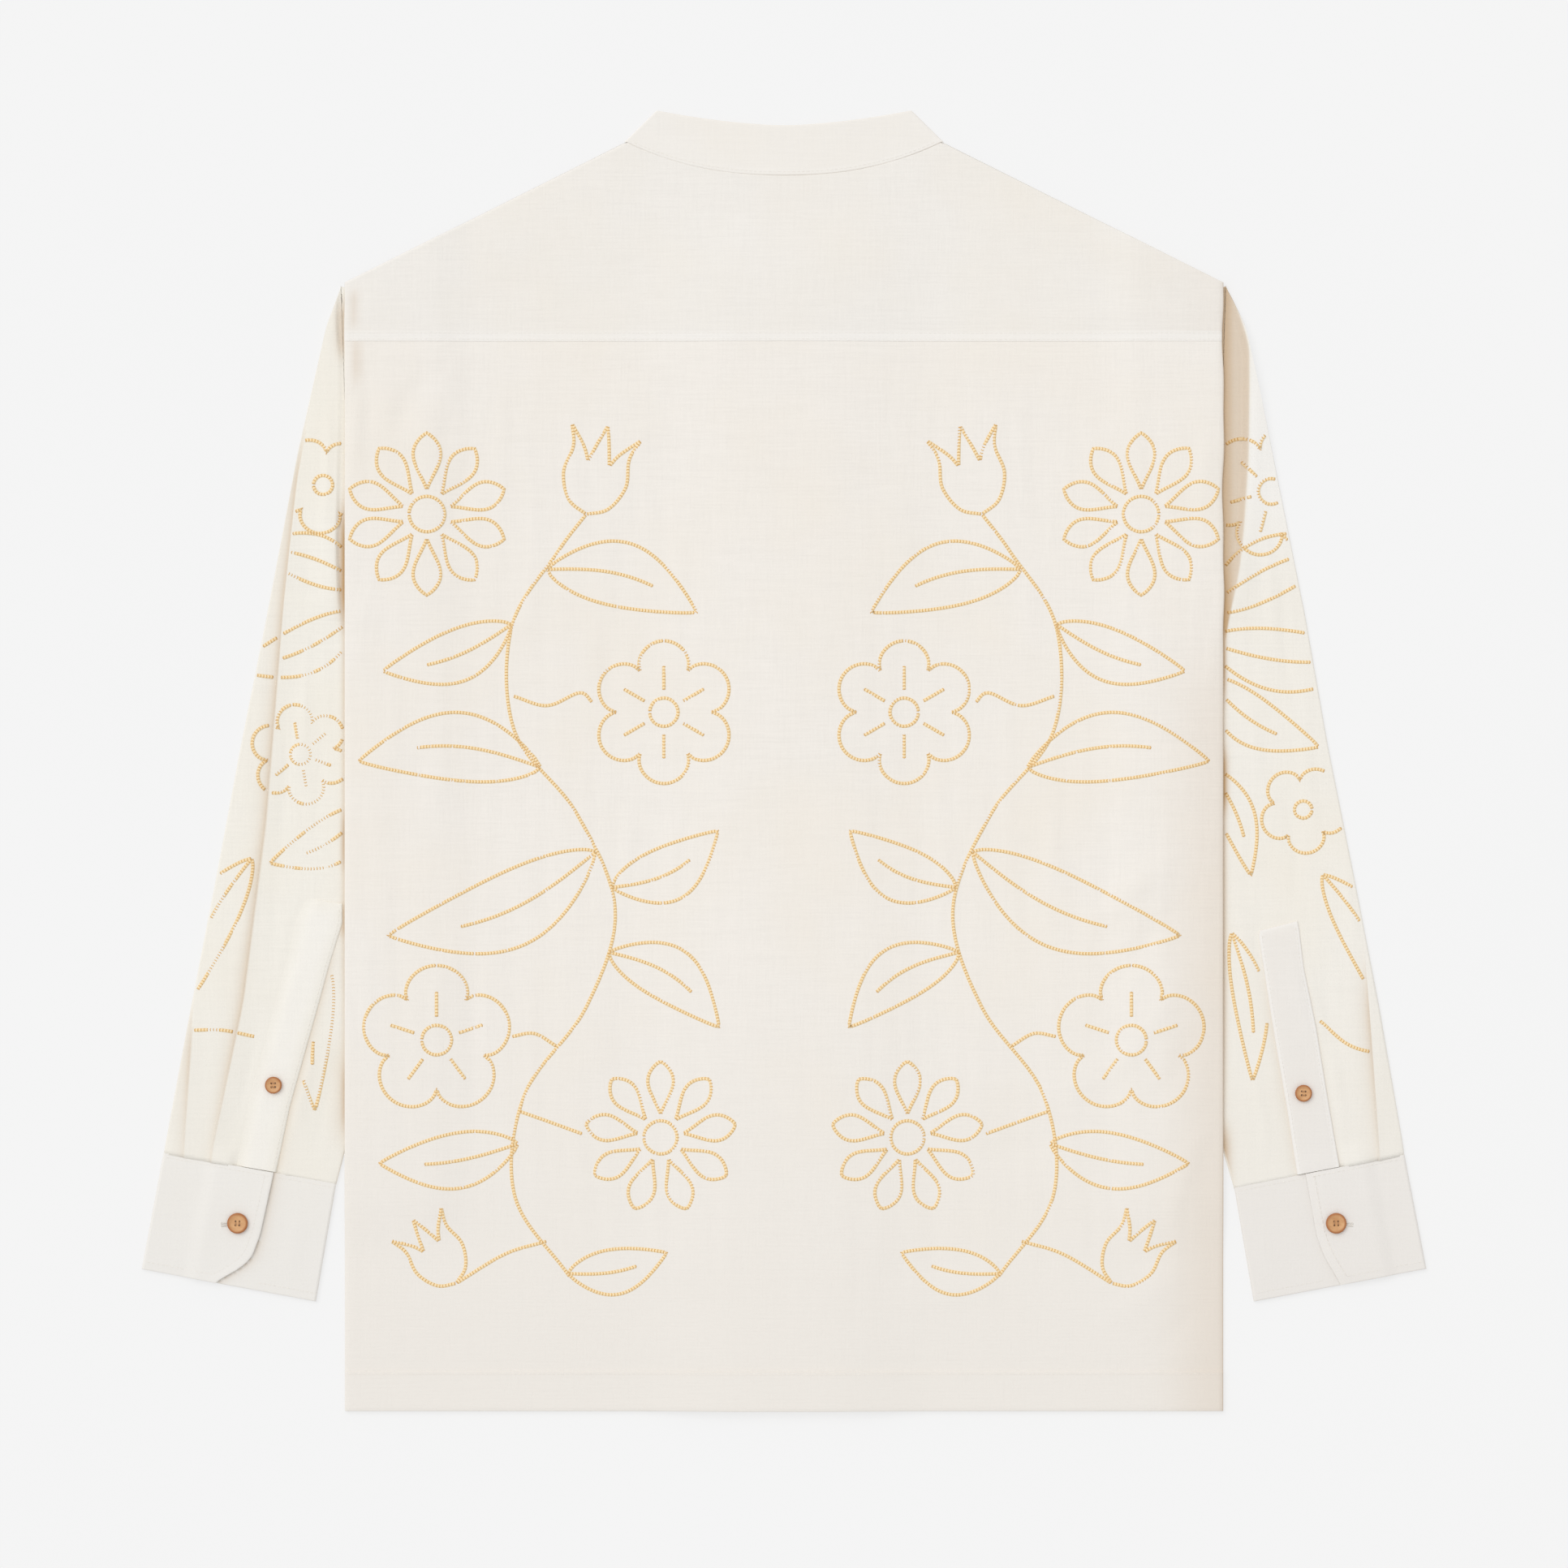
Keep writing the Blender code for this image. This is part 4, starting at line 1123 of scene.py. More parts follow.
def sleeve(side, look):
    """A flat tube with a round fold at each edge, open at the armhole and at the cuff."""
    sign = SIGN[side]
    inner, outer = sleeve_lines(side)
    length = np.linalg.norm(outer - inner, axis=1)[:, None]
    way = (outer - inner) / length
    top_places = sleeve_columns(side, inner, outer)
    low_share = np.linspace(1, 0, SLEEVE_LOWER_COLUMNS)[None, :]
    bends = np.radians((60.0, 20.0, -20.0, -60.0))[None, :]

    def at(distance):
        return [inner[:, None, axis] + way[:, None, axis] * distance for axis in (0, 1)]

    def loop(radius, centre_height):
        start, end = FOLD_RADIUS, length - FOLD_RADIUS
        parts = []
        for distance, lift in (
            (top_places, None),
            (end + radius * np.cos(bends), centre_height + radius * np.sin(bends)),
            (start + (end - start) * low_share, centre_height - radius),
            (start - radius * np.cos(bends[:, ::-1]), centre_height + radius * np.sin(bends[:, ::-1])),
        ):
            distance = np.broadcast_to(distance, (len(inner), distance.shape[1]))
            x, y = at(distance)
            if lift is None:
                lift = sleeve_top(side, x, y) - (FOLD_RADIUS - radius)
            parts.append(np.stack([sign * x, y, np.broadcast_to(lift, x.shape)], -1))
        return np.concatenate(parts, axis=1)

    over = loop(FOLD_RADIUS, FOLD_RADIUS)
    under = loop(FOLD_RADIUS - WALL, FOLD_RADIUS)
    tone = sleeve_tone(side, np.abs(over[:, :, 0]), over[:, :, 1])
    # Painted shade, slight, on the sleeve's outer folds and its lower layer
    tone[:, top_places.shape[1] + 4:] = 0.1
    name = "cloth_sleeve_" + side
    obj = cloth(name, over, under, tone, look, tube=True)
    run = float(np.linalg.norm(np.diff((inner + outer) / 2, axis=0), axis=1).sum())
    flat = np.stack([inner, outer], 1)
    area = 2 * grid_area(flat[:, :, 0], flat[:, :, 1])
    declare("sleeve_" + side, area)


def cuff_point(side, u, t):
    """A point of the cuff: u from its inner to its outer edge, t from its seam to its end."""
    corners = np.array(CUFF_CORNERS[side])
    u, t = np.asarray(u)[..., None], np.asarray(t)[..., None]
    seam = corners[0] + (corners[1] - corners[0]) * u
    end = corners[2] + (corners[3] - corners[2]) * u
    place = seam + (end - seam) * t
    return place[..., 0], place[..., 1]


def cuff_cut_back(side, t):
    """How far the cut corner of the free end stands back at t."""
    places, depths = np.array(CUFF_CUT_BACK[side]).T
    shifts = (-0.04, -0.02, 0.0, 0.02, 0.04)
    return sum(np.interp(np.asarray(t) + shift, places, depths) for shift in shifts) / len(shifts)


def cuff_height(side, u, t):
    """Upper face of the cuff's top layer from its free end to its outer fold."""
    under = CUFF_FREE_END[side] + CUFF_OVERLAP
    raised = 1 - smooth((u - under - CUFF_STEP_NEAR) / (CUFF_STEP_FAR - CUFF_STEP_NEAR))
    x, y = cuff_point(side, u, t)
    from_end = (u - CUFF_FREE_END[side]) * CUFF_WIDTH - cuff_cut_back(side, t)
    lift = CUFF_END_LIFT[side] * np.exp(-((from_end / 6) ** 2)) * smooth(t / 0.2)
    return 2 * CUFF_WALL + GAP + (CUFF_WALL + GAP) * raised + lift + cuff_relief(side, x, y, t)


def cuff_relief(side, x, y, t):
    inside = smooth(t * CUFF_DEPTH / 6) * smooth((1 - t) * CUFF_DEPTH / 6)
    return (0.15 + creases(CUFF_CREASES[side], x, y)) * inside


def cuff(side, look):
    """The cuff goes from its under end round both folds to its free end on top."""
    sign = SIGN[side]
    under_end = CUFF_FREE_END[side] + CUFF_OVERLAP
    t = steps(0.0, CUFF_DEPTH, CUFF_DEPTH / CUFF_ROWS, near=(0.0, 0.15, 0.5, 1.0)) / CUFF_DEPTH
    radius = CUFF_WALL + GAP / 2
    fold = radius / CUFF_WIDTH
    bends = np.radians(np.linspace(75, -75, 6))
    lower = steps(fold * CUFF_WIDTH, (1 - fold) * CUFF_WIDTH, 9.0, near=(0.0,)) / CUFF_WIDTH
    under_u = steps(fold * CUFF_WIDTH, under_end * CUFF_WIDTH, 2.6, near=(0.0, 0.3, 0.9))[::-1] / CUFF_WIDTH
    free_share = steps(0.0, 100.0, 2.6, near=(0.0, 0.25, 0.9)) / 100.0
    over, under = [], []
    for at in t:
        free = CUFF_FREE_END[side] + cuff_cut_back(side, at) / CUFF_WIDTH
        top_u = (1 - fold) + (free - 1 + fold) * free_share
        x, y = cuff_point(side, under_u, np.full_like(under_u, at))
        first = CUFF_WALL + GAP + cuff_relief(side, x, y, at) * 0.7
        high = cuff_height(side, top_u, np.full_like(top_u, at))
        pressed = CUFF_END_PRESSED[side] * np.exp(-(((top_u - free) * CUFF_WIDTH / 5) ** 2))
        us = [under_u, fold - fold * np.cos(bends), lower, 1 - fold + fold * np.cos(bends[::-1]), top_u]
        ins = 0.15 / CUFF_WIDTH
        us_in = [under_u, fold - ins * np.cos(bends), lower, 1 - fold + ins * np.cos(bends[::-1]), top_u]
        zs = [first + CUFF_WALL, radius + radius * np.sin(bends), 0 * lower,
              radius + radius * np.sin(bends[::-1]), high - pressed]
        zs_in = [first, radius + 0.15 * np.sin(bends), 0 * lower + CUFF_WALL,
                 radius + 0.15 * np.sin(bends[::-1]), high - CUFF_WALL]
        u_out, u_in, z_out, z_in = (np.concatenate(v) for v in (us, us_in, zs, zs_in))
        run = np.arange(len(u_out))
        ends = np.minimum(np.abs(u_out - u_out[0]) + (run > len(under_u)), np.abs(u_out - u_out[-1])
                          + (run < len(u_out) - len(top_u)))
        edge = np.minimum(ends * CUFF_WIDTH, min(5 * at, 1 - at) * CUFF_DEPTH)
        parted = rim(edge, 0.8)
        middle = (z_out + z_in) / 2
        z_out = middle + (z_out - middle) * parted
        z_in = middle + (z_in - middle) * parted
        for u, z, faces in ((u_out, z_out, over), (u_in, z_in, under)):
            x, y = cuff_point(side, u, np.full_like(u, at))
            faces.append(np.stack([sign * x, y, z], -1))
    over, under = np.array(over), np.array(under)
    u_all = np.broadcast_to(u_out, over.shape[:2])
    t_all = np.broadcast_to(t[:, None], over.shape[:2])
    tone = cuff_tone(side, u_all, t_all)
    tone[:, len(under_u) + 6:] = 0.0
    obj = cloth("cloth_cuff_" + side, over, under, tone, look)
    declare("cuff_" + side, None)


def placket_grid(side, across, along):
    """Points of a placket: across from its inner edge to its outer one, along from its top down."""
    rows = np.array(PLACKETS[side])
    reach = np.concatenate([[0], np.cumsum(np.linalg.norm(np.diff(rows[:, :2], axis=0), axis=1))])
    place = np.asarray(along) * reach[-1]
    ends = [np.interp(place, reach, rows[:, k]) for k in range(4)]
    x = ends[0][:, None] + (ends[2] - ends[0])[:, None] * across
    y = ends[1][:, None] + (ends[3] - ends[1])[:, None] * across
    return x, y, reach[-1]


def placket_top(side, x, y, edge):
    swell = 0.35 * smooth(edge / 5)
    fold = creases(PLACKET_CREASES, x - (10 if side == "right" else 0), y) * smooth(edge / 4)
    free = PLACKET_BASE + PLACKET_HEIGHT + swell + fold + 0.8 * near_cuff(side, x, y)
    u, t = cuff_place(np.array(CUFF_CORNERS[side]), x, y)
    held = cuff_height(side, u, np.zeros_like(u)) - 0.12
    return free + (held - free) * smooth(1 + t * CUFF_DEPTH / PLACKET_DIVE)


def sleeve_placket(side, look):
    sign = SIGN[side]
    width = 25.0
    length = placket_grid(side, np.zeros(1), np.zeros(1))[2]
    across = steps(0.0, width, 1.6, near=(0.0, 0.1, 0.35, 0.8)) / width
    along = steps(0.0, length, 2.4, near=(0.0, 0.1, 0.35, 0.8)) / length
    x, y, _ = placket_grid(side, across, along)
    edge = np.minimum(np.minimum(across, 1 - across) * width, along[:, None] * length)
    parted = rim(edge, PLACKET_ROUND[side])
    if side == "left":
        parted = parted * (0.06 + 0.94 * smooth((1 - across) * width / PLACKET_SOFT_SIDE))
    top = placket_top(side, x, y, edge)
    middle = PLACKET_BASE + 0.1
    over = np.stack([sign * x, y, middle + (top - middle) * parted], -1)
    under = np.stack([sign * x, y, middle - 0.1 - 0.1 * parted], -1)
    # Painted light: on the right placket a highlight line just inside its raised edges, on the left one a
    # face that is lighter away from its edges
    if side == "right":
        tone = -0.45 * np.exp(-(((edge - 1.3) / 0.8) ** 2))
    else:
        tone = -0.3 * smooth(edge / 10) + 0.0 * x
    obj = cloth("cloth_placket_" + side, over, under, tone, look)
    declare("placket_" + side, None)


def threads(paths, across, up, sides=4):
    """Closed strands with pointed ends, one along each path of (count, points, 3)."""
    paths = np.asarray(paths, float)
    count, points, _ = paths.shape
    way = paths[:, 2:] - paths[:, :-2]
    way = way / np.maximum(np.linalg.norm(way, axis=2, keepdims=True), 1e-9)
    sideways = np.stack([-way[..., 1], way[..., 0], 0 * way[..., 0]], -1)
    sideways = sideways / np.maximum(np.linalg.norm(sideways, axis=2, keepdims=True), 1e-9)
    upward = np.cross(way, sideways)
    angles = 2 * math.pi * (np.arange(sides) + 0.5) / sides
    rings = paths[:, 1:-1, None] + (
        sideways[:, :, None] * (across * np.cos(angles))[None, None, :, None]
        + upward[:, :, None] * (up * np.sin(angles))[None, None, :, None]
    )
    inner = points - 2
    block = np.concatenate([rings.reshape(count, inner * sides, 3), paths[:, :1], paths[:, -1:]], 1)
    size = inner * sides + 2
    first, last = size - 2, size - 1
    faces = []
    for s in range(sides):
        n = (s + 1) % sides
        faces.append((first, n, s))
        for k in range(inner - 1):
            a, b = k * sides, (k + 1) * sides
            faces.append((a + s, a + n, b + n))
            faces.append((a + s, b + n, b + s))
        end = (inner - 1) * sides
        faces.append((last, end + s, end + n))
    every = np.array(faces)[None] + (np.arange(count) * size)[:, None, None]
    return block.reshape(-1, 3), every.reshape(-1, 3)


def join(parts):
    """Several (points, faces) as one."""
    points, faces, start = [], [], 0
    for p, f in parts:
        points.append(p)
        faces.append(f + start)
        start += len(p)
    return np.vstack(points), np.vstack(faces)


def thread_object(name, parts, look):
    points, faces = join(parts)
    return mesh_object(name, points, faces.tolist(), look)


def resample(line, pitch):
    """Points a pitch apart along a line, and the way that it runs at each."""
    line = np.asarray(line, float)
    reach = np.concatenate([[0], np.cumsum(np.linalg.norm(np.diff(line, axis=0), axis=1))])
    count = max(int(reach[-1] / pitch), 2)
    at = (np.arange(count) + 0.5) * reach[-1] / count

    def place(distance):
        return np.stack([np.interp(distance, reach, line[:, k]) for k in (0, 1)], -1)

    way = place(np.minimum(at + pitch / 2, reach[-1])) - place(np.maximum(at - pitch / 2, 0))
    return place(at), way / np.maximum(np.linalg.norm(way, axis=1, keepdims=True), 1e-9)


def on_surface(places, height, lift):
    return np.concatenate([places, (height(places[..., 0], places[..., 1]) + lift)[..., None]], -1)


def topstitch(line, height, rise=TOPSTITCH_RISE):
    """A row of machine stitches, each a short strand that dives into the cloth at both ends."""
    at, way = resample(line, TOPSTITCH_PITCH)
    half = TOPSTITCH_LENGTH / 2
    offsets = np.array((-half, -0.7 * half, 0.7 * half, half))
    lifts = np.array((-TOPSTITCH_DIVE, 0.0, 0.0, -TOPSTITCH_DIVE)) + rise
    places = at[:, None] + way[:, None] * offsets[None, :, None]
    return threads(on_surface(places, height, lifts[None]), TOPSTITCH_RADIUS, TOPSTITCH_RADIUS)


# Embroidery: motifs of a garland, as lines of (x, y)


def through(points, pace=10):
    """A smooth line through a few points."""
    p = np.array(points, float)
    p = np.vstack([2 * p[0] - p[1], p, 2 * p[-1] - p[-2]])
    t = np.linspace(0, 1, pace, endpoint=False)[:, None]
    line = []
    for a, b, c, d in zip(p, p[1:], p[2:], p[3:]):
        bend = (2 * a - 5 * b + 4 * c - d) * t**2 + (3 * b - a - 3 * c + d) * t**3
        line.append(b + 0.5 * ((c - a) * t + bend))
    return np.vstack([*line, p[-2]])


def heading(angle):
    """The way at an angle in degrees from X, and the way to its left."""
    turn = math.radians(angle)
    return np.array((math.cos(turn), math.sin(turn))), np.array((-math.sin(turn), math.cos(turn)))


def leaf(base, angle, length, width, bend=0.0, rib=0.72):
    """A pointed leaf with a rib, bent to its left by a share of its length."""
    along, left = heading(angle)
    t = np.linspace(0, 1, 33)[:, None]
    spine = np.array(base) + along * length * t + left * length * bend * np.sin(math.pi * t)
    half = width / 2 * np.sin(math.pi * t**0.85) ** 0.9
    outline = np.vstack([spine + left * half, (spine - left * half)[::-1]])
    return [outline, spine[: int(rib * len(spine))]]


def ring(centre, radius):
    turn = np.linspace(0, 2 * math.pi, 25)
    return np.array(centre) + radius * np.stack([np.cos(turn), np.sin(turn)], 1)


def blossom(centre, radius, petals, turn=90.0):
    """Round petals that meet in notches, a ring in the middle and a vein in each petal."""
    around = np.linspace(0, 2 * math.pi, 30 * petals + 1)
    reach = radius * (0.66 + 0.34 * np.abs(np.cos(petals / 2 * around)) ** 0.6)
    around = around + math.radians(turn)
    outline = np.array(centre) + reach[:, None] * np.stack([np.cos(around), np.sin(around)], 1)
    lines = [outline, ring(centre, 0.2 * radius)]
    for petal in range(petals):
        along, _ = heading(turn + petal * 360 / petals)
        lines.append(np.array([centre + along * 0.3 * radius, centre + along * 0.66 * radius]))
    return lines


def daisy(centre, radius, petals, turn=90.0):
    """Separate slender petals round a ring."""
    lines = [ring(centre, 0.22 * radius)]
    for petal in range(petals):
        along, left = heading(turn + petal * 360 / petals)
        t = np.linspace(0, 1, 21)[:, None]
        spine = np.array(centre) + along * radius * (0.3 + 0.7 * t)
        half = radius * 0.17 * np.sin(math.pi * t**1.5) ** 0.8
        lines.append(np.vstack([spine + left * half, (spine - left * half)[::-1]]))
    return lines


def tulip(base, angle, size):
    """A cup with three points, open away from its base."""
    along, left = heading(angle)
    cup = ((0.0, 0.0), (0.12, 0.24), (0.42, 0.38), (0.75, 0.34), (1.0, 0.42))
    dip = ((1.0, 0.42), (0.78, 0.22), (0.62, 0.13))
    tip = ((0.62, 0.13), (0.85, 0.07), (1.08, 0.0))
    lines = []
    for side in (1, -1):
        for part in (cup, dip, tip):
            points = [np.array(base) + size * (along * a + left * side * b) for a, b in part]
            lines.append(through(points))
    return lines


def back_garland():
    """The half on the wearer's right. The other half is its mirror image."""
    return [
        through([(132, -318), (166, -268), (160, -206), (122, -152), (104, -92), (128, -32),
                 (166, 18), (168, 82), (140, 128), (122, 152)]),
        *tulip((122, 152), 104, 52),
        *daisy((220, 152), 50, 10),
        *leaf((146, 118), 196, 96, 40, -0.1),
        *leaf((168, 84), 340, 84, 32, -0.08),
        *blossom((74, 30), 44, 6),
        through([(167, 40), (146, 34), (126, 42), (118, 36)]),
        *leaf((150, -4), 2, 112, 42, 0.1),
        *leaf((116, -56), 338, 138, 46, -0.1),
        *leaf((106, -78), 152, 74, 34, 0.12),
        *leaf((108, -118), 214, 82, 34, -0.12),
        *blossom((214, -172), 46, 5),
        through([(140, -176), (154, -168), (168, -170)]),
        *daisy((76, -232), 47, 9),
        through([(163, -216), (146, -222), (124, -230)]),
        *leaf((164, -236), 352, 86, 34, -0.06),
        *tulip((202, -322), 56, 44),
        through([(146, -296), (172, -304), (202, -322)]),
        *leaf((133, -316), 168, 62, 28, 0.08),
    ]


def sleeve_garland(side):
    """What runs on over a sleeve, as distances from the middle and heights."""
    if side == "right":
        return [
            *blossom((300, 166), 40, 6, 75),
            *leaf((258, 92), 24, 104, 36, 0.08),
            *leaf((258, 74), -4, 112, 38, -0.08),
            *leaf((260, 52), -32, 82, 30, -0.1),
            *blossom((320, -30), 27, 5, 60),
            *leaf((260, -2), -68, 74, 22, 0.08),
            *leaf((332, -70), -66, 98, 30, 0.1),
            *leaf((276, -106), -82, 92, 20, 0.06),
            through([(330, -160), (350, -176), (378, -182)]),
        ]
    return [
        *blossom((284, 170), 30, 5, 60),
        *leaf((258, 108), 18, 76, 30, 0.08),
        *leaf((260, 92), -24, 88, 30, -0.08),
        *blossom((298, 4), 31, 6, 80),
        *leaf((256, -28), -30, 70, 28, -0.1),
        *leaf((328, -60), -66, 100, 30, 0.08),
        *leaf((280, -128), -84, 88, 20, 0.06),
        through([(326, -170), (346, -166), (366, -166)]),
    ]


def off_pleats(side, x, y):
    """True where a stitch isn't on the step of a pleat."""
    clear = np.ones(x.shape, bool)
    for pleat in PLEATS[side]:
        away = np.abs(np.abs(x) - read_soft(pleat, y, 1))
        clear &= (away > CHAIN_WIDTH * 0.7) | (y > pleat[0][0] + 4)
    return clear


def on_back(x, y):
    """True away from the sides of the back, at any height y."""
    return np.abs(x) < BODY_HALF - CHAIN_INSIDE_BACK


def on_sleeve(side, x, y):
    inside = (np.abs(x) > BODY_HALF + CHAIN_BESIDE_BODY) & (np.abs(x) < edge_x(side, y) - CHAIN_INSIDE_EDGE)
    clear = off_pleats(side, x, y) & (placket_distance(side, x, y) > CHAIN_BESIDE_PLACKET)
    return inside & clear & (y > CHAIN_LOW_Y)


def runs(kept):
    """Start and end of each stretch of a row of true and false that is true."""
    turns = np.flatnonzero(np.diff(np.concatenate([[0], kept.astype(int), [0]])))
    return list(zip(turns[::2], turns[1::2]))


def chain_stitch(name, lines, height, kept, tone, band_look, bar_look):
    """Bars across each line over a pale band, on the cloth's surface and only where it is kept."""
    bars, bands = [], []
    for line in lines:
        at, way = resample(line, CHAIN_PITCH)
        left = np.stack([-way[:, 1], way[:, 0]], -1)
        for start, end in runs(kept(at[:, 0], at[:, 1])):
            if end - start < SHORTEST_RUN:
                continue
            spots = slice(start, end)
            places = (at[spots, None] + left[spots, None] * np.array(BAR_ACROSS)[None, :, None]
                      + way[spots, None] * np.array(BAR_ALONG)[None, :, None])
            places = on_surface(places, height, np.array(BAR_LIFT)[None])
            bars.append(threads(places, BAR_RADIUS, BAR_THICKNESS))
            inner, _ = resample(at[spots], BAND_PITCH)
            first, last = at[start] - way[start] * BAND_TIP, at[end - 1] + way[end - 1] * BAND_TIP
            path = np.vstack([first, at[start], inner, at[end - 1], last])
            path = on_surface(path[None], height, BAND_LIFT)
            bands.append(threads(path, BAND_HALF * math.sqrt(2), BAND_RADIUS))
    # The threads carry the painted light and shade of the cloth under them as their tone
    for title, parts, look in (("embroidery_band_", bands, band_look), ("embroidery_", bars, bar_look)):
        obj = thread_object(title + name, parts, look)
        points = points_of(obj.data)
        set_tone(obj.data, tone(points[:, 0], points[:, 1]))


def embroidery(band_look, bar_look):
    half = back_garland()
    whole = {"left": [line * np.array((-1, 1)) for line in half], "right": half}
    for side, sign in SIGN.items():
        chain_stitch("back_" + side, whole[side], back_top, on_back, back_tone, band_look, bar_look)
        lines = [line * np.array((sign, 1)) for line in sleeve_garland(side)]
        chain_stitch(
            "sleeve_" + side, lines, partial(sleeve_top, side), partial(on_sleeve, side),
            partial(sleeve_tone, side), band_look, bar_look,
        )


def cuff_stitch_lines(side):
    """Rows of stitches on the cuff: its free end, its seam and its lower end, as (u, t)."""
    margin = CUFF_STITCH_INSET / CUFF_WIDTH
    deep = CUFF_STITCH_INSET / CUFF_DEPTH
    t = np.linspace(deep / 2, 1 - deep, 40)
    free = CUFF_FREE_END[side] + cuff_cut_back(side, t + 0.03) / CUFF_WIDTH + margin
    u = np.linspace(free[-1], 0.985, 30)
    seam_u = np.linspace(CUFF_FREE_END[side] + 0.02, 0.985, 30)
    return [
        (free, t),
        (u, np.full_like(u, 1 - deep)),
        (seam_u, np.full_like(seam_u, deep / 2)),
    ]


def cuff_inner_lines(side):
    """Rows of stitches on the part of the cuff that its free end leaves open."""
    deep = CUFF_STITCH_INSET / CUFF_DEPTH
    u = np.linspace(0.02, CUFF_FREE_END[side] - 0.02, 12)
    return [(u, np.full_like(u, deep / 2)), (u, np.full_like(u, 1 - deep))]


def cuff_topstitch(side, lines, height):
    corners = np.array(CUFF_CORNERS[side])

    def level(x, y):
        return height(*cuff_place(corners, np.abs(x), y))

    made = []
    for u, t in lines:
        x, y = cuff_point(side, u, t)
        made.append(topstitch(np.stack([SIGN[side] * x, y], -1), level))
    return made


def cuff_place(corners, x, y):
    """The (u, t) of a point on the cuff, which is close to a slanted rectangle."""
    across = corners[1] - corners[0]
    down = corners[2] - corners[0]
    dx, dy = x - corners[0][0], y - corners[0][1]
    det = across[0] * down[1] - across[1] * down[0]
    return (dx * down[1] - dy * down[0]) / det, (across[0] * dy - across[1] * dx) / det


def cuff_inner_height(side, u, t):
    x, y = cuff_point(side, u, t)
    return 2 * CUFF_WALL + GAP + 0.7 * cuff_relief(side, x, y, t)


def placket_stitches(side):
    sign = SIGN[side]
    along = np.linspace(0.02, 0.99, 60)
    made = []

    def level(x, y):
        return placket_top(side, np.abs(x), y, 2.5)

    for across in {"left": (0.08,), "right": (0.08, 0.92)}[side]:
        x, y, _ = placket_grid(side, np.array([across]), along)
        made.append(topstitch(np.stack([sign * x[:, 0], y[:, 0]], -1), level))
    cross = {"left": (), "right": (0.03, 0.25)}[side]
    for place in cross:
        x, y, _ = placket_grid(side, np.linspace(0.08, 0.92, 8), np.array([place]))
        made.append(topstitch(np.stack([sign * x[0], y[0]], -1), level))
    return made


def collar_stitches():
    w = np.linspace(-0.97, 0.97, 80)
    share = np.full_like(w, COLLAR_STITCH_UP / COLLAR_HEIGHT)
    x, y = collar_line(w, share, BACK_NECK_DROP, COLLAR_TOP_DIP)
    return [topstitch(np.stack([x, y], -1), lambda px, py: collar_back_height(px, py) + COLLAR_WALL)]


def level_line(y, reach):
    x = np.linspace(-reach, reach, 120)
    return np.stack([x, np.full_like(x, y)], -1)


def seams(look):
    reach = BODY_HALF - SEAM_STITCH_INSET
    hem = level_line(HEM_TOP - HEM_STITCH_BELOW, reach)
    thread_object("topstitch_hem", [topstitch(hem, back_top)], look)
    yoke = [level_line(YOKE_Y + GAP + up, reach) for up in YOKE_STITCHES]
    thread_object("topstitch_yoke", [topstitch(line, yoke_top, 0.0) for line in yoke], look)
    thread_object("topstitch_collar", collar_stitches(), look)
    for side in SIGN:
        rows = cuff_topstitch(side, cuff_stitch_lines(side), partial(cuff_height, side))
        rows += cuff_topstitch(side, cuff_inner_lines(side), partial(cuff_inner_height, side))
        thread_object("topstitch_cuff_" + side, rows, look)
        thread_object("topstitch_placket_" + side, placket_stitches(side), look)


def buttonhole(name, start, end, height, look):
    """Close stitches across both sides of a slit."""
    at, way = resample([start, end], BUTTONHOLE_PITCH)
    left = np.stack([-way[:, 1], way[:, 0]], -1)
    across, lifts = np.array(BUTTONHOLE_ACROSS), np.array(BUTTONHOLE_LIFT)
    parts = []
    for side in (1, -1):
        places = at[:, None] + side * left[:, None] * across[None, :, None]
        places = on_surface(places, height, lifts[None])
        parts.append(threads(places, BUTTONHOLE_RADIUS, BUTTONHOLE_RADIUS))
    thread_object(name, parts, look)


def turned(name, profile, segments):
    """A mesh turned round Z from a profile of (radius, height) that starts and ends on the axis."""
    bm = bmesh.new()
    points = [bm.verts.new((radius * MM, 0.0, height * MM)) for radius, height in profile]
    edges = [bm.edges.new(pair) for pair in zip(points, points[1:])]
    bmesh.ops.spin(
        bm, geom=points + edges, cent=(0, 0, 0), axis=(0, 0, 1), angle=2 * math.pi, steps=segments
    )
    bmesh.ops.remove_doubles(bm, verts=bm.verts, dist=0.005 * MM)
    bmesh.ops.recalc_face_normals(bm, faces=bm.faces)
    mesh = bpy.data.meshes.new(name)
    bm.to_mesh(mesh)
    bm.free()
    return mesh


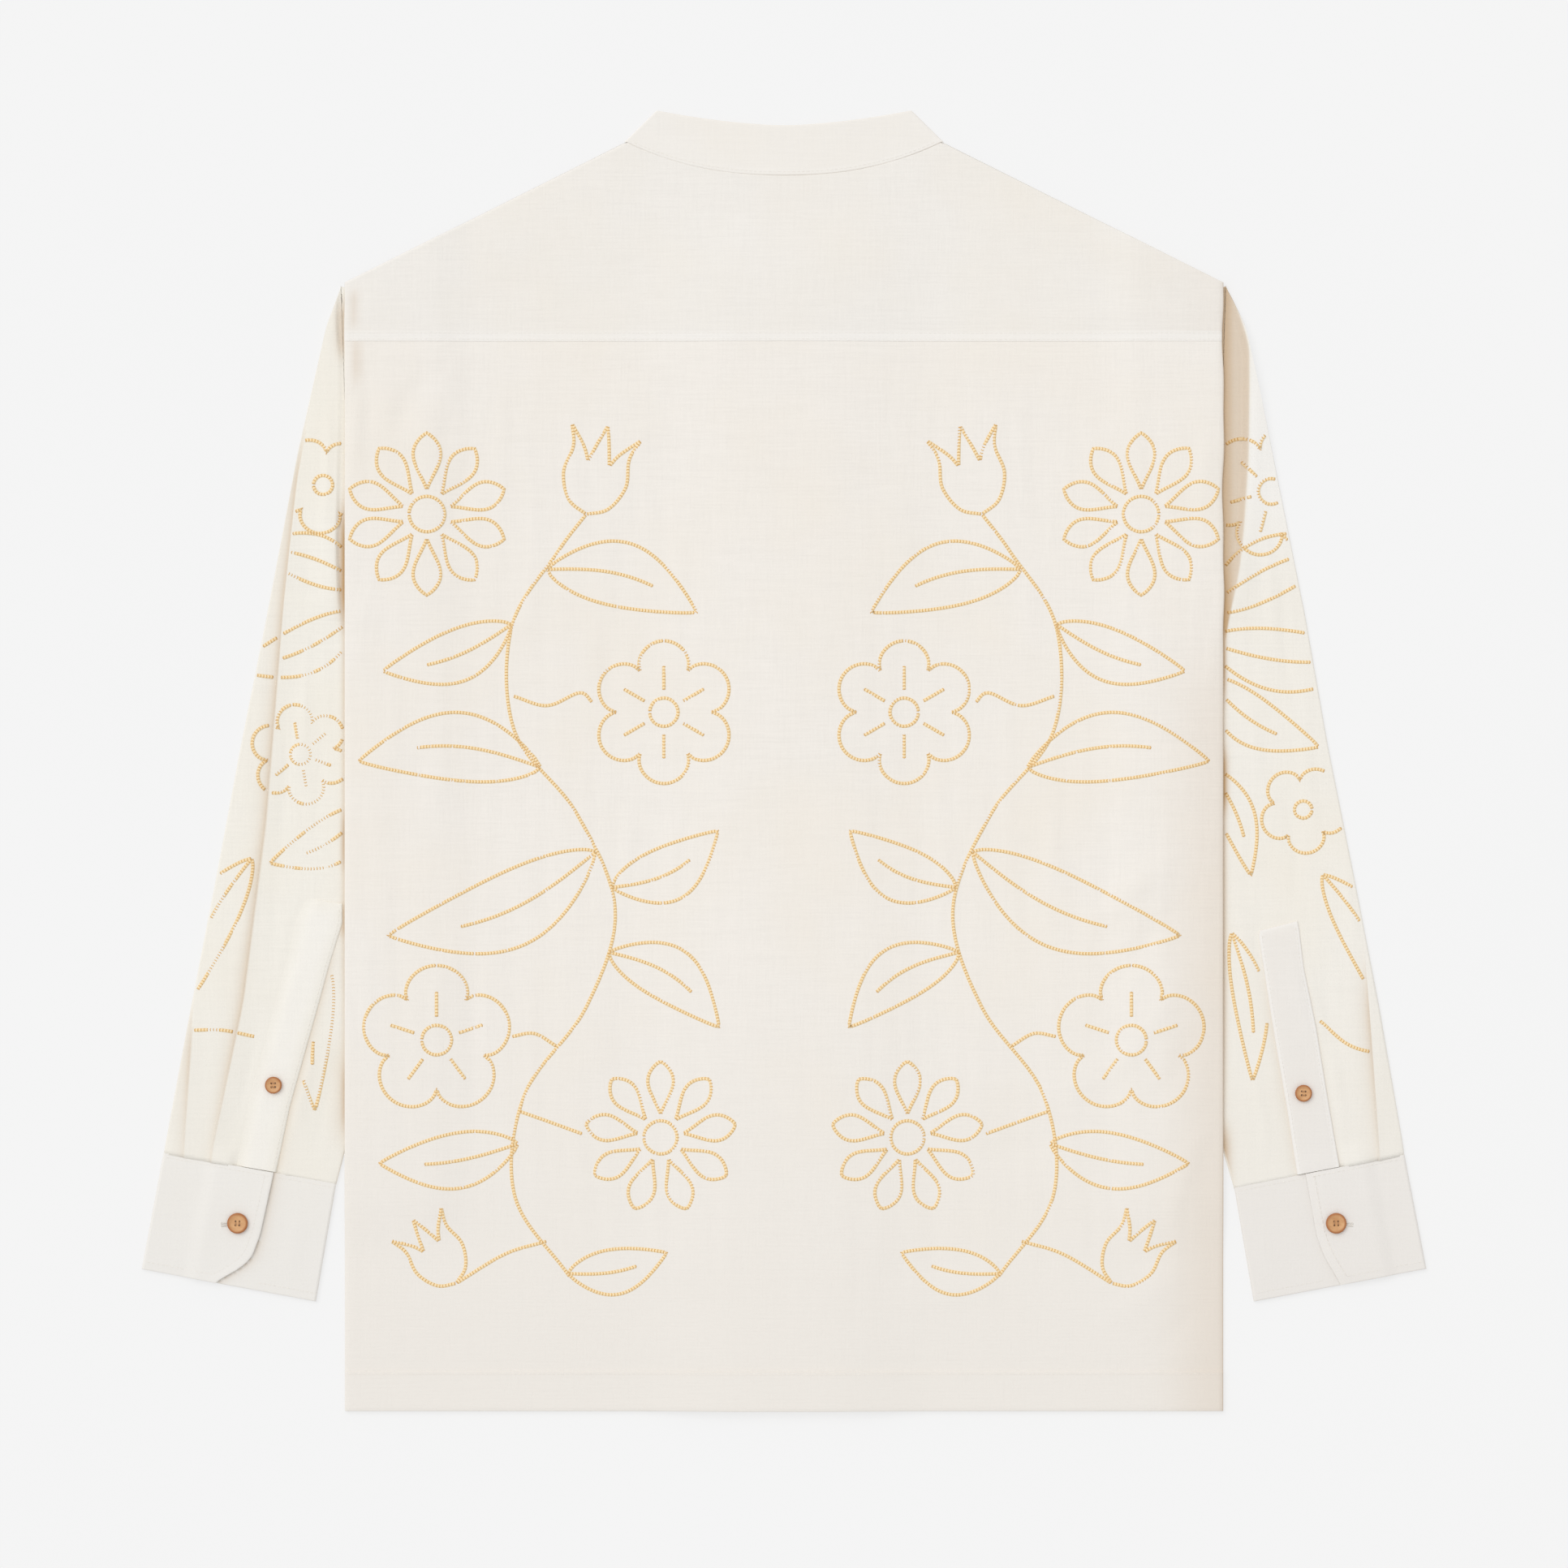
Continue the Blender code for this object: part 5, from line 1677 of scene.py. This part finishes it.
def button_mesh(name, diameter, height):
    """A disc with a raised rim, a dished middle and four holes for the thread."""
    radius = diameter / 2
    profile = [(across * radius, up * height) for across, up in BUTTON_PROFILE]
    blank = new_object(name + "_blank", turned(name, profile, BUTTON_SEGMENTS))
    bm = bmesh.new()
    for corner in range(4):
        angle = math.pi / 4 + corner * math.pi / 2
        hole = bmesh.ops.create_cone(
            bm, cap_ends=True, segments=HOLE_SEGMENTS, radius1=HOLE_RADIUS * MM,
            radius2=HOLE_RADIUS * MM, depth=3 * height * MM,
        )
        reach = HOLE_OFFSET * math.sqrt(2) * MM
        centre = (reach * math.cos(angle), reach * math.sin(angle), 0)
        bmesh.ops.translate(bm, verts=hole["verts"], vec=centre)
    cutter_mesh = bpy.data.meshes.new(name + "_holes")
    bm.to_mesh(cutter_mesh)
    bm.free()
    cutter = new_object(name + "_holes", cutter_mesh)
    cut = blank.modifiers.new("Holes", "BOOLEAN")
    cut.operation = "DIFFERENCE"
    cut.solver = "EXACT"
    cut.object = cutter
    graph = bpy.context.evaluated_depsgraph_get()
    made = bpy.data.meshes.new_from_object(blank.evaluated_get(graph))
    for obj in (blank, cutter):
        bpy.data.objects.remove(obj, do_unlink=True)
    made.materials.clear()
    made.shade_smooth()
    made.set_sharp_from_angle(angle=math.radians(BUTTON_SHARP))
    points = points_of(made)
    reach = np.hypot(points[:, 0], points[:, 1]) / radius
    set_tone(made, smooth((reach - 0.7) / 0.2))
    return made


def place_button(node, mesh, x, y, z, look, over=None):
    """A button in its node's place. One that faces the table is turned over, over being its height."""
    own = mesh.copy()
    own.materials.append(look)
    place = Matrix.Translation((x * MM, y * MM, z * MM))
    if over:
        place = place @ Matrix.Translation((0, 0, over * MM)) @ Matrix.Rotation(math.pi, 4, "X")
    own.transform(place)
    obj = new_object("turned_" + node, own)
    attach(obj, "root")
    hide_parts(node)


def sewing(x, y, z, height, turn):
    """Strands that cross a button from hole to hole, two bars of three."""
    along, left = heading(turn)
    reach = HOLE_OFFSET + SEW_PAST_HOLE
    offsets = np.array((-reach, -reach + 0.1, -reach + 0.5, 0.0, reach - 0.5, reach - 0.1, reach))
    heights = np.array(SEW_HEIGHTS) + (z + BUTTON_DISH * height)
    strands = []
    for side in (1, -1):
        for shift in SEW_STRANDS:
            middle = np.array((x, y)) + left * (side * HOLE_OFFSET + shift)
            path = np.concatenate([middle + along * offsets[:, None], heights[:, None]], 1)
            strands.append(threads(path[None], SEW_RADIUS, SEW_RADIUS, 5))
    return strands


def on_cuff(x, y):
    """The level that a buttonhole's stitches lie on."""
    return np.full(np.broadcast(x, y).shape, CUFF_TOP + BUTTONHOLE_RISE)


def buttons(look, thread_look, hole_look):
    fronts = button_mesh("front_button", FRONT_BUTTON_DIAMETER, FRONT_BUTTON_HEIGHT)
    cuffs = button_mesh("cuff_button", *CUFF_BUTTON)
    plackets = button_mesh("placket_button", *PLACKET_BUTTON)
    for number in range(FRONT_BUTTONS):
        y = FRONT_BUTTON_FIRST_Y - number * FRONT_BUTTON_PITCH
        place_button(f"front_button_{number + 1}", fronts, 0.0, y, 0.0, look, FRONT_BUTTON_HEIGHT)
    strands = []
    for side, sign in SIGN.items():
        cuff_x, cuff_y = CUFF_BUTTONS[side]
        place_button("cuff_button_" + side, cuffs, sign * cuff_x, cuff_y, CUFF_BUTTON_LEVEL, look)
        strands += sewing(sign * cuff_x, cuff_y, CUFF_BUTTON_LEVEL, CUFF_BUTTON[1], 80.0 * sign)
        x, y = PLACKET_BUTTONS[side]
        place_button("placket_button_" + side, plackets, sign * x, y, PLACKET_BUTTON_LEVEL, look)
        strands += sewing(sign * x, y, PLACKET_BUTTON_LEVEL, PLACKET_BUTTON[1], 12.0 * sign)
        start, end = ((sign * (cuff_x + across), cuff_y + up) for across, up in BUTTONHOLE_ENDS)
        buttonhole("buttonhole_cuff_" + side, start, end, on_cuff, hole_look)
    thread_object("button_thread", strands, thread_look)


# Materials


class Nodes:
    """A material under construction: makes nodes, links them and sets fixed values."""

    def __init__(self, name):
        self.material = bpy.data.materials.new(name)
        self.material.use_nodes = True
        self.tree = self.material.node_tree
        self.shader = self.tree.nodes["Principled BSDF"]

    def add(self, kind, **settings):
        node = self.tree.nodes.new(kind)
        for key, value in settings.items():
            setattr(node, key, value)
        return node

    def link(self, start, end):
        self.tree.links.new(start, end)

    def place(self, scale, turn=0.0):
        """Places on the shirt, in metres times a scale."""
        spot = self.add("ShaderNodeTexCoord")
        mapping = self.add("ShaderNodeMapping")
        mapping.inputs["Scale"].default_value = scale
        mapping.inputs["Rotation"].default_value = (0.0, 0.0, turn)
        self.link(spot.outputs["Object"], mapping.inputs["Vector"])
        return mapping.outputs["Vector"]

    def noise(self, scale, detail=2.0, roughness=0.5, turn=0.0):
        made = self.add("ShaderNodeTexNoise")
        made.inputs["Scale"].default_value = 1.0
        made.inputs["Detail"].default_value = detail
        made.inputs["Roughness"].default_value = roughness
        self.link(self.place(scale, turn), made.inputs["Vector"])
        return made.outputs["Fac"]

    def sum(self, first, second, kind="ADD"):
        made = self.add("ShaderNodeMath", operation=kind)
        for socket, value in zip(made.inputs, (first, second)):
            if isinstance(value, (int, float)):
                socket.default_value = value
            else:
                self.link(value, socket)
        return made.outputs[0]

    def spread(self, value, low, high, start=0.0, end=1.0):
        """A value from low to high becomes one from start to end."""
        made = self.add("ShaderNodeMapRange")
        self.link(value, made.inputs["Value"])
        for key, number in (("From Min", low), ("From Max", high), ("To Min", start), ("To Max", end)):
            made.inputs[key].default_value = number
        return made.outputs["Result"]

    def mix(self, share, first, second, kind="MIX"):
        made = self.add("ShaderNodeMix", data_type="RGBA", blend_type=kind)
        if isinstance(share, (int, float)):
            made.inputs[0].default_value = share
        else:
            self.link(share, made.inputs[0])
        for socket, value in ((made.inputs[6], first), (made.inputs[7], second)):
            if isinstance(value, tuple):
                socket.default_value = value
            else:
                self.link(value, socket)
        return made.outputs[2]

    def bump(self, height, distance, strength, before=None):
        made = self.add("ShaderNodeBump")
        made.inputs["Strength"].default_value = strength
        made.inputs["Distance"].default_value = distance * MM
        self.link(height, made.inputs["Height"])
        if before:
            self.link(before, made.inputs["Normal"])
        return made.outputs["Normal"]

    def height_on_shirt(self):
        spot = self.add("ShaderNodeTexCoord")
        split = self.add("ShaderNodeSeparateXYZ")
        self.link(spot.outputs["Object"], split.inputs[0])
        return split.outputs["Y"]

    def tone(self):
        made = self.add("ShaderNodeAttribute", attribute_name="tone")
        return made.outputs["Fac"]


def linen(name, colour, turn, slub):
    """Plain-weave linen: threads of uneven thickness both ways, over a fine weave."""
    nodes = Nodes(name)
    weft = nodes.noise((55.0, 850.0, 90.0), 3.0, 0.6, turn)
    warp = nodes.noise((850.0, 55.0, 90.0), 3.0, 0.6, turn)
    coarse = nodes.noise((22.0, 420.0, 60.0), 2.0, 0.5, turn)
    mottle = nodes.noise((9.0, 9.0, 9.0), 3.0, 0.55)
    weave = []
    for direction in ("X", "Y"):
        wave = nodes.add("ShaderNodeTexWave", bands_direction=direction)
        wave.inputs["Scale"].default_value = 480.0
        wave.inputs["Distortion"].default_value = 1.2
        wave.inputs["Detail"].default_value = 1.0
        nodes.link(nodes.place((1.0, 1.0, 1.0), turn), wave.inputs["Vector"])
        weave.append(wave.outputs["Fac"])
    threads_height = nodes.sum(nodes.sum(weft, warp), nodes.sum(coarse, 0.6, "MULTIPLY"))
    fine = nodes.bump(nodes.sum(weave[0], weave[1], "MULTIPLY"), 0.12, 0.5 * slub)
    normal = nodes.bump(threads_height, 0.35, 0.42 * slub, fine)
    nodes.link(normal, nodes.shader.inputs["Normal"])

    dark = tuple(c * 0.93 for c in colour[:3]) + (1.0,)
    warm = (colour[0] * 0.985, colour[1] * 0.965, colour[2] * 0.925, 1.0)
    look = nodes.mix(nodes.spread(threads_height, 1.1, 1.6, 0.0, 0.45 * slub), colour, dark)
    look = nodes.mix(nodes.spread(mottle, 0.42, 0.72, 0.0, 0.6), look, warm)
    # Painted shade: the cloth goes a little darker towards the bottom of the shirt, where the light falls
    # off
    low = tuple(c * 0.95 for c in colour[:3]) + (1.0,)
    look = nodes.mix(nodes.spread(nodes.height_on_shirt(), -0.10, -0.38), look, low)
    # Painted light and shade from the tone attribute: above 0 towards the tan of SHADE, below 0 towards
    # LIGHTER
    tone = nodes.tone()
    look = nodes.mix(nodes.spread(tone, 0.0, DEEPEST), look, srgb(*SHADE))
    look = nodes.mix(nodes.spread(tone, 0.0, -1.0), look, srgb(*LIGHTER))
    nodes.link(look, nodes.shader.inputs["Base Color"])
    nodes.shader.inputs["Roughness"].default_value = 0.9
    nodes.shader.inputs["Specular IOR Level"].default_value = 0.12
    nodes.shader.inputs["Sheen Weight"].default_value = 0.0
    return nodes.material


def thread(name, colour, shade, roughness=0.7):
    """Twisted thread, a little uneven in colour along its way."""
    nodes = Nodes(name)
    uneven = nodes.noise((160.0, 160.0, 160.0), 3.0, 0.6)
    look = nodes.mix(nodes.spread(uneven, 0.35, 0.7), colour, shade)
    # Painted shade: where the cloth under the thread is shaded, the thread goes over to a darker tan
    deep = tuple(c * share for c, share in zip(colour, (0.72, 0.62, 0.5))) + (1.0,)
    look = nodes.mix(nodes.spread(nodes.tone(), 0.0, 1.0), look, deep)
    nodes.link(look, nodes.shader.inputs["Base Color"])
    twist = nodes.noise((2500.0, 2500.0, 2500.0), 1.0)
    nodes.link(nodes.bump(twist, 0.08, 0.5), nodes.shader.inputs["Normal"])
    nodes.shader.inputs["Roughness"].default_value = roughness
    nodes.shader.inputs["Specular IOR Level"].default_value = 0.2
    return nodes.material


def horn(name):
    """Horn look: cloudy tan with a darker rim."""
    nodes = Nodes(name)
    cloud = nodes.noise((120.0, 210.0, 160.0), 4.0, 0.6)
    look = nodes.mix(nodes.spread(cloud, 0.35, 0.68), srgb(*HORN_LIGHT), srgb(*HORN_DARK))
    look = nodes.mix(nodes.sum(nodes.tone(), 0.85, "MULTIPLY"), look, srgb(*HORN_RIM))
    nodes.link(look, nodes.shader.inputs["Base Color"])
    scratches = nodes.noise((700.0, 900.0, 500.0), 3.0)
    nodes.link(nodes.bump(scratches, 0.05, 0.4), nodes.shader.inputs["Normal"])
    nodes.shader.inputs["Roughness"].default_value = 0.5
    return nodes.material


def floor_look():
    nodes = Nodes("studio_floor")
    grain = nodes.noise((3.0, 3.0, 3.0), 2.0)
    look = nodes.mix(grain, *((grey, grey, grey, 1.0) for grey in FLOOR_GREYS))
    nodes.shader.inputs["Emission Color"].default_value = (1.0, 1.0, 1.0, 1.0)
    nodes.shader.inputs["Emission Strength"].default_value = FLOOR_GLOW
    nodes.link(look, nodes.shader.inputs["Base Color"])
    nodes.shader.inputs["Roughness"].default_value = 1.0
    nodes.shader.inputs["Specular IOR Level"].default_value = 0.0
    return nodes.material


# Studio and pieces together


def studio():
    half = FLOOR_SIZE / 2 * MM
    level = FLOOR_LEVEL * MM
    mesh = bpy.data.meshes.new("studio_floor")
    corners = [(-half, -half, level), (half, -half, level), (half, half, level), (-half, half, level)]
    mesh.from_pydata(corners, [], [(0, 1, 2, 3)])
    mesh.materials.append(floor_look())
    floor = new_object("studio_floor", mesh)

    world = bpy.data.worlds.new("studio")
    world.use_nodes = True
    sky = world.node_tree.nodes["Background"]
    sky.inputs["Color"].default_value = (1.0, 1.0, 1.0, 1.0)
    sky.inputs["Strength"].default_value = WORLD_LIGHT
    bpy.context.scene.world = world

    key = bpy.data.lights.new("key", "SUN")
    key.energy = KEY_LIGHT
    key.angle = math.radians(KEY_SOFTNESS)
    lamp = new_object("key", key)
    lamp.rotation_euler = (math.radians(KEY_TILT[0]), math.radians(KEY_TILT[1]), 0.0)

    data = bpy.data.cameras.new("camera")
    data.lens = LENS
    data.sensor_width = SENSOR
    data.clip_end = 20.0
    camera = new_object("camera", data)
    camera.location = (0.0, PICTURE_MIDDLE_Y * MM, (CLOTH_LEVEL + PICTURE_SIDE * LENS / SENSOR) * MM)
    bpy.context.scene.camera = camera
    bpy.context.scene.view_settings.view_transform = "Standard"


def main():
    cloths = {
        name: linen(name, srgb(*colour), math.radians(turn), slub)
        for name, (colour, turn, slub) in LINENS.items()
    }
    strands = {name: thread(name, srgb(*colour), srgb(*shade)) for name, (colour, shade) in THREADS.items()}

    body = cloths["linen_back"]
    back_panel(body)
    back_yoke(cloths["linen_yoke"])
    front("left", -BODY_HALF + FRONT_INSET, FRONT_OVERLAP, left_front_base, body)
    front("right", -FRONT_OVERLAP, BODY_HALF - FRONT_INSET, right_front_base, body)
    collar_band(cloths["linen_pressed"])
    for side in SIGN:
        sleeve_look, cuff_look = cloths["linen_sleeve_" + side], cloths["linen_cuff_" + side]
        sleeve(side, sleeve_look)
        cuff(side, cuff_look)
        sleeve_placket(side, sleeve_look if side == "left" else cuff_look)
    seams(strands["thread_white"])
    embroidery(strands["thread_cream"], strands["thread_ochre"])
    buttons(horn("horn"), strands["thread_brown"], strands["thread_white"])
    studio()


main()
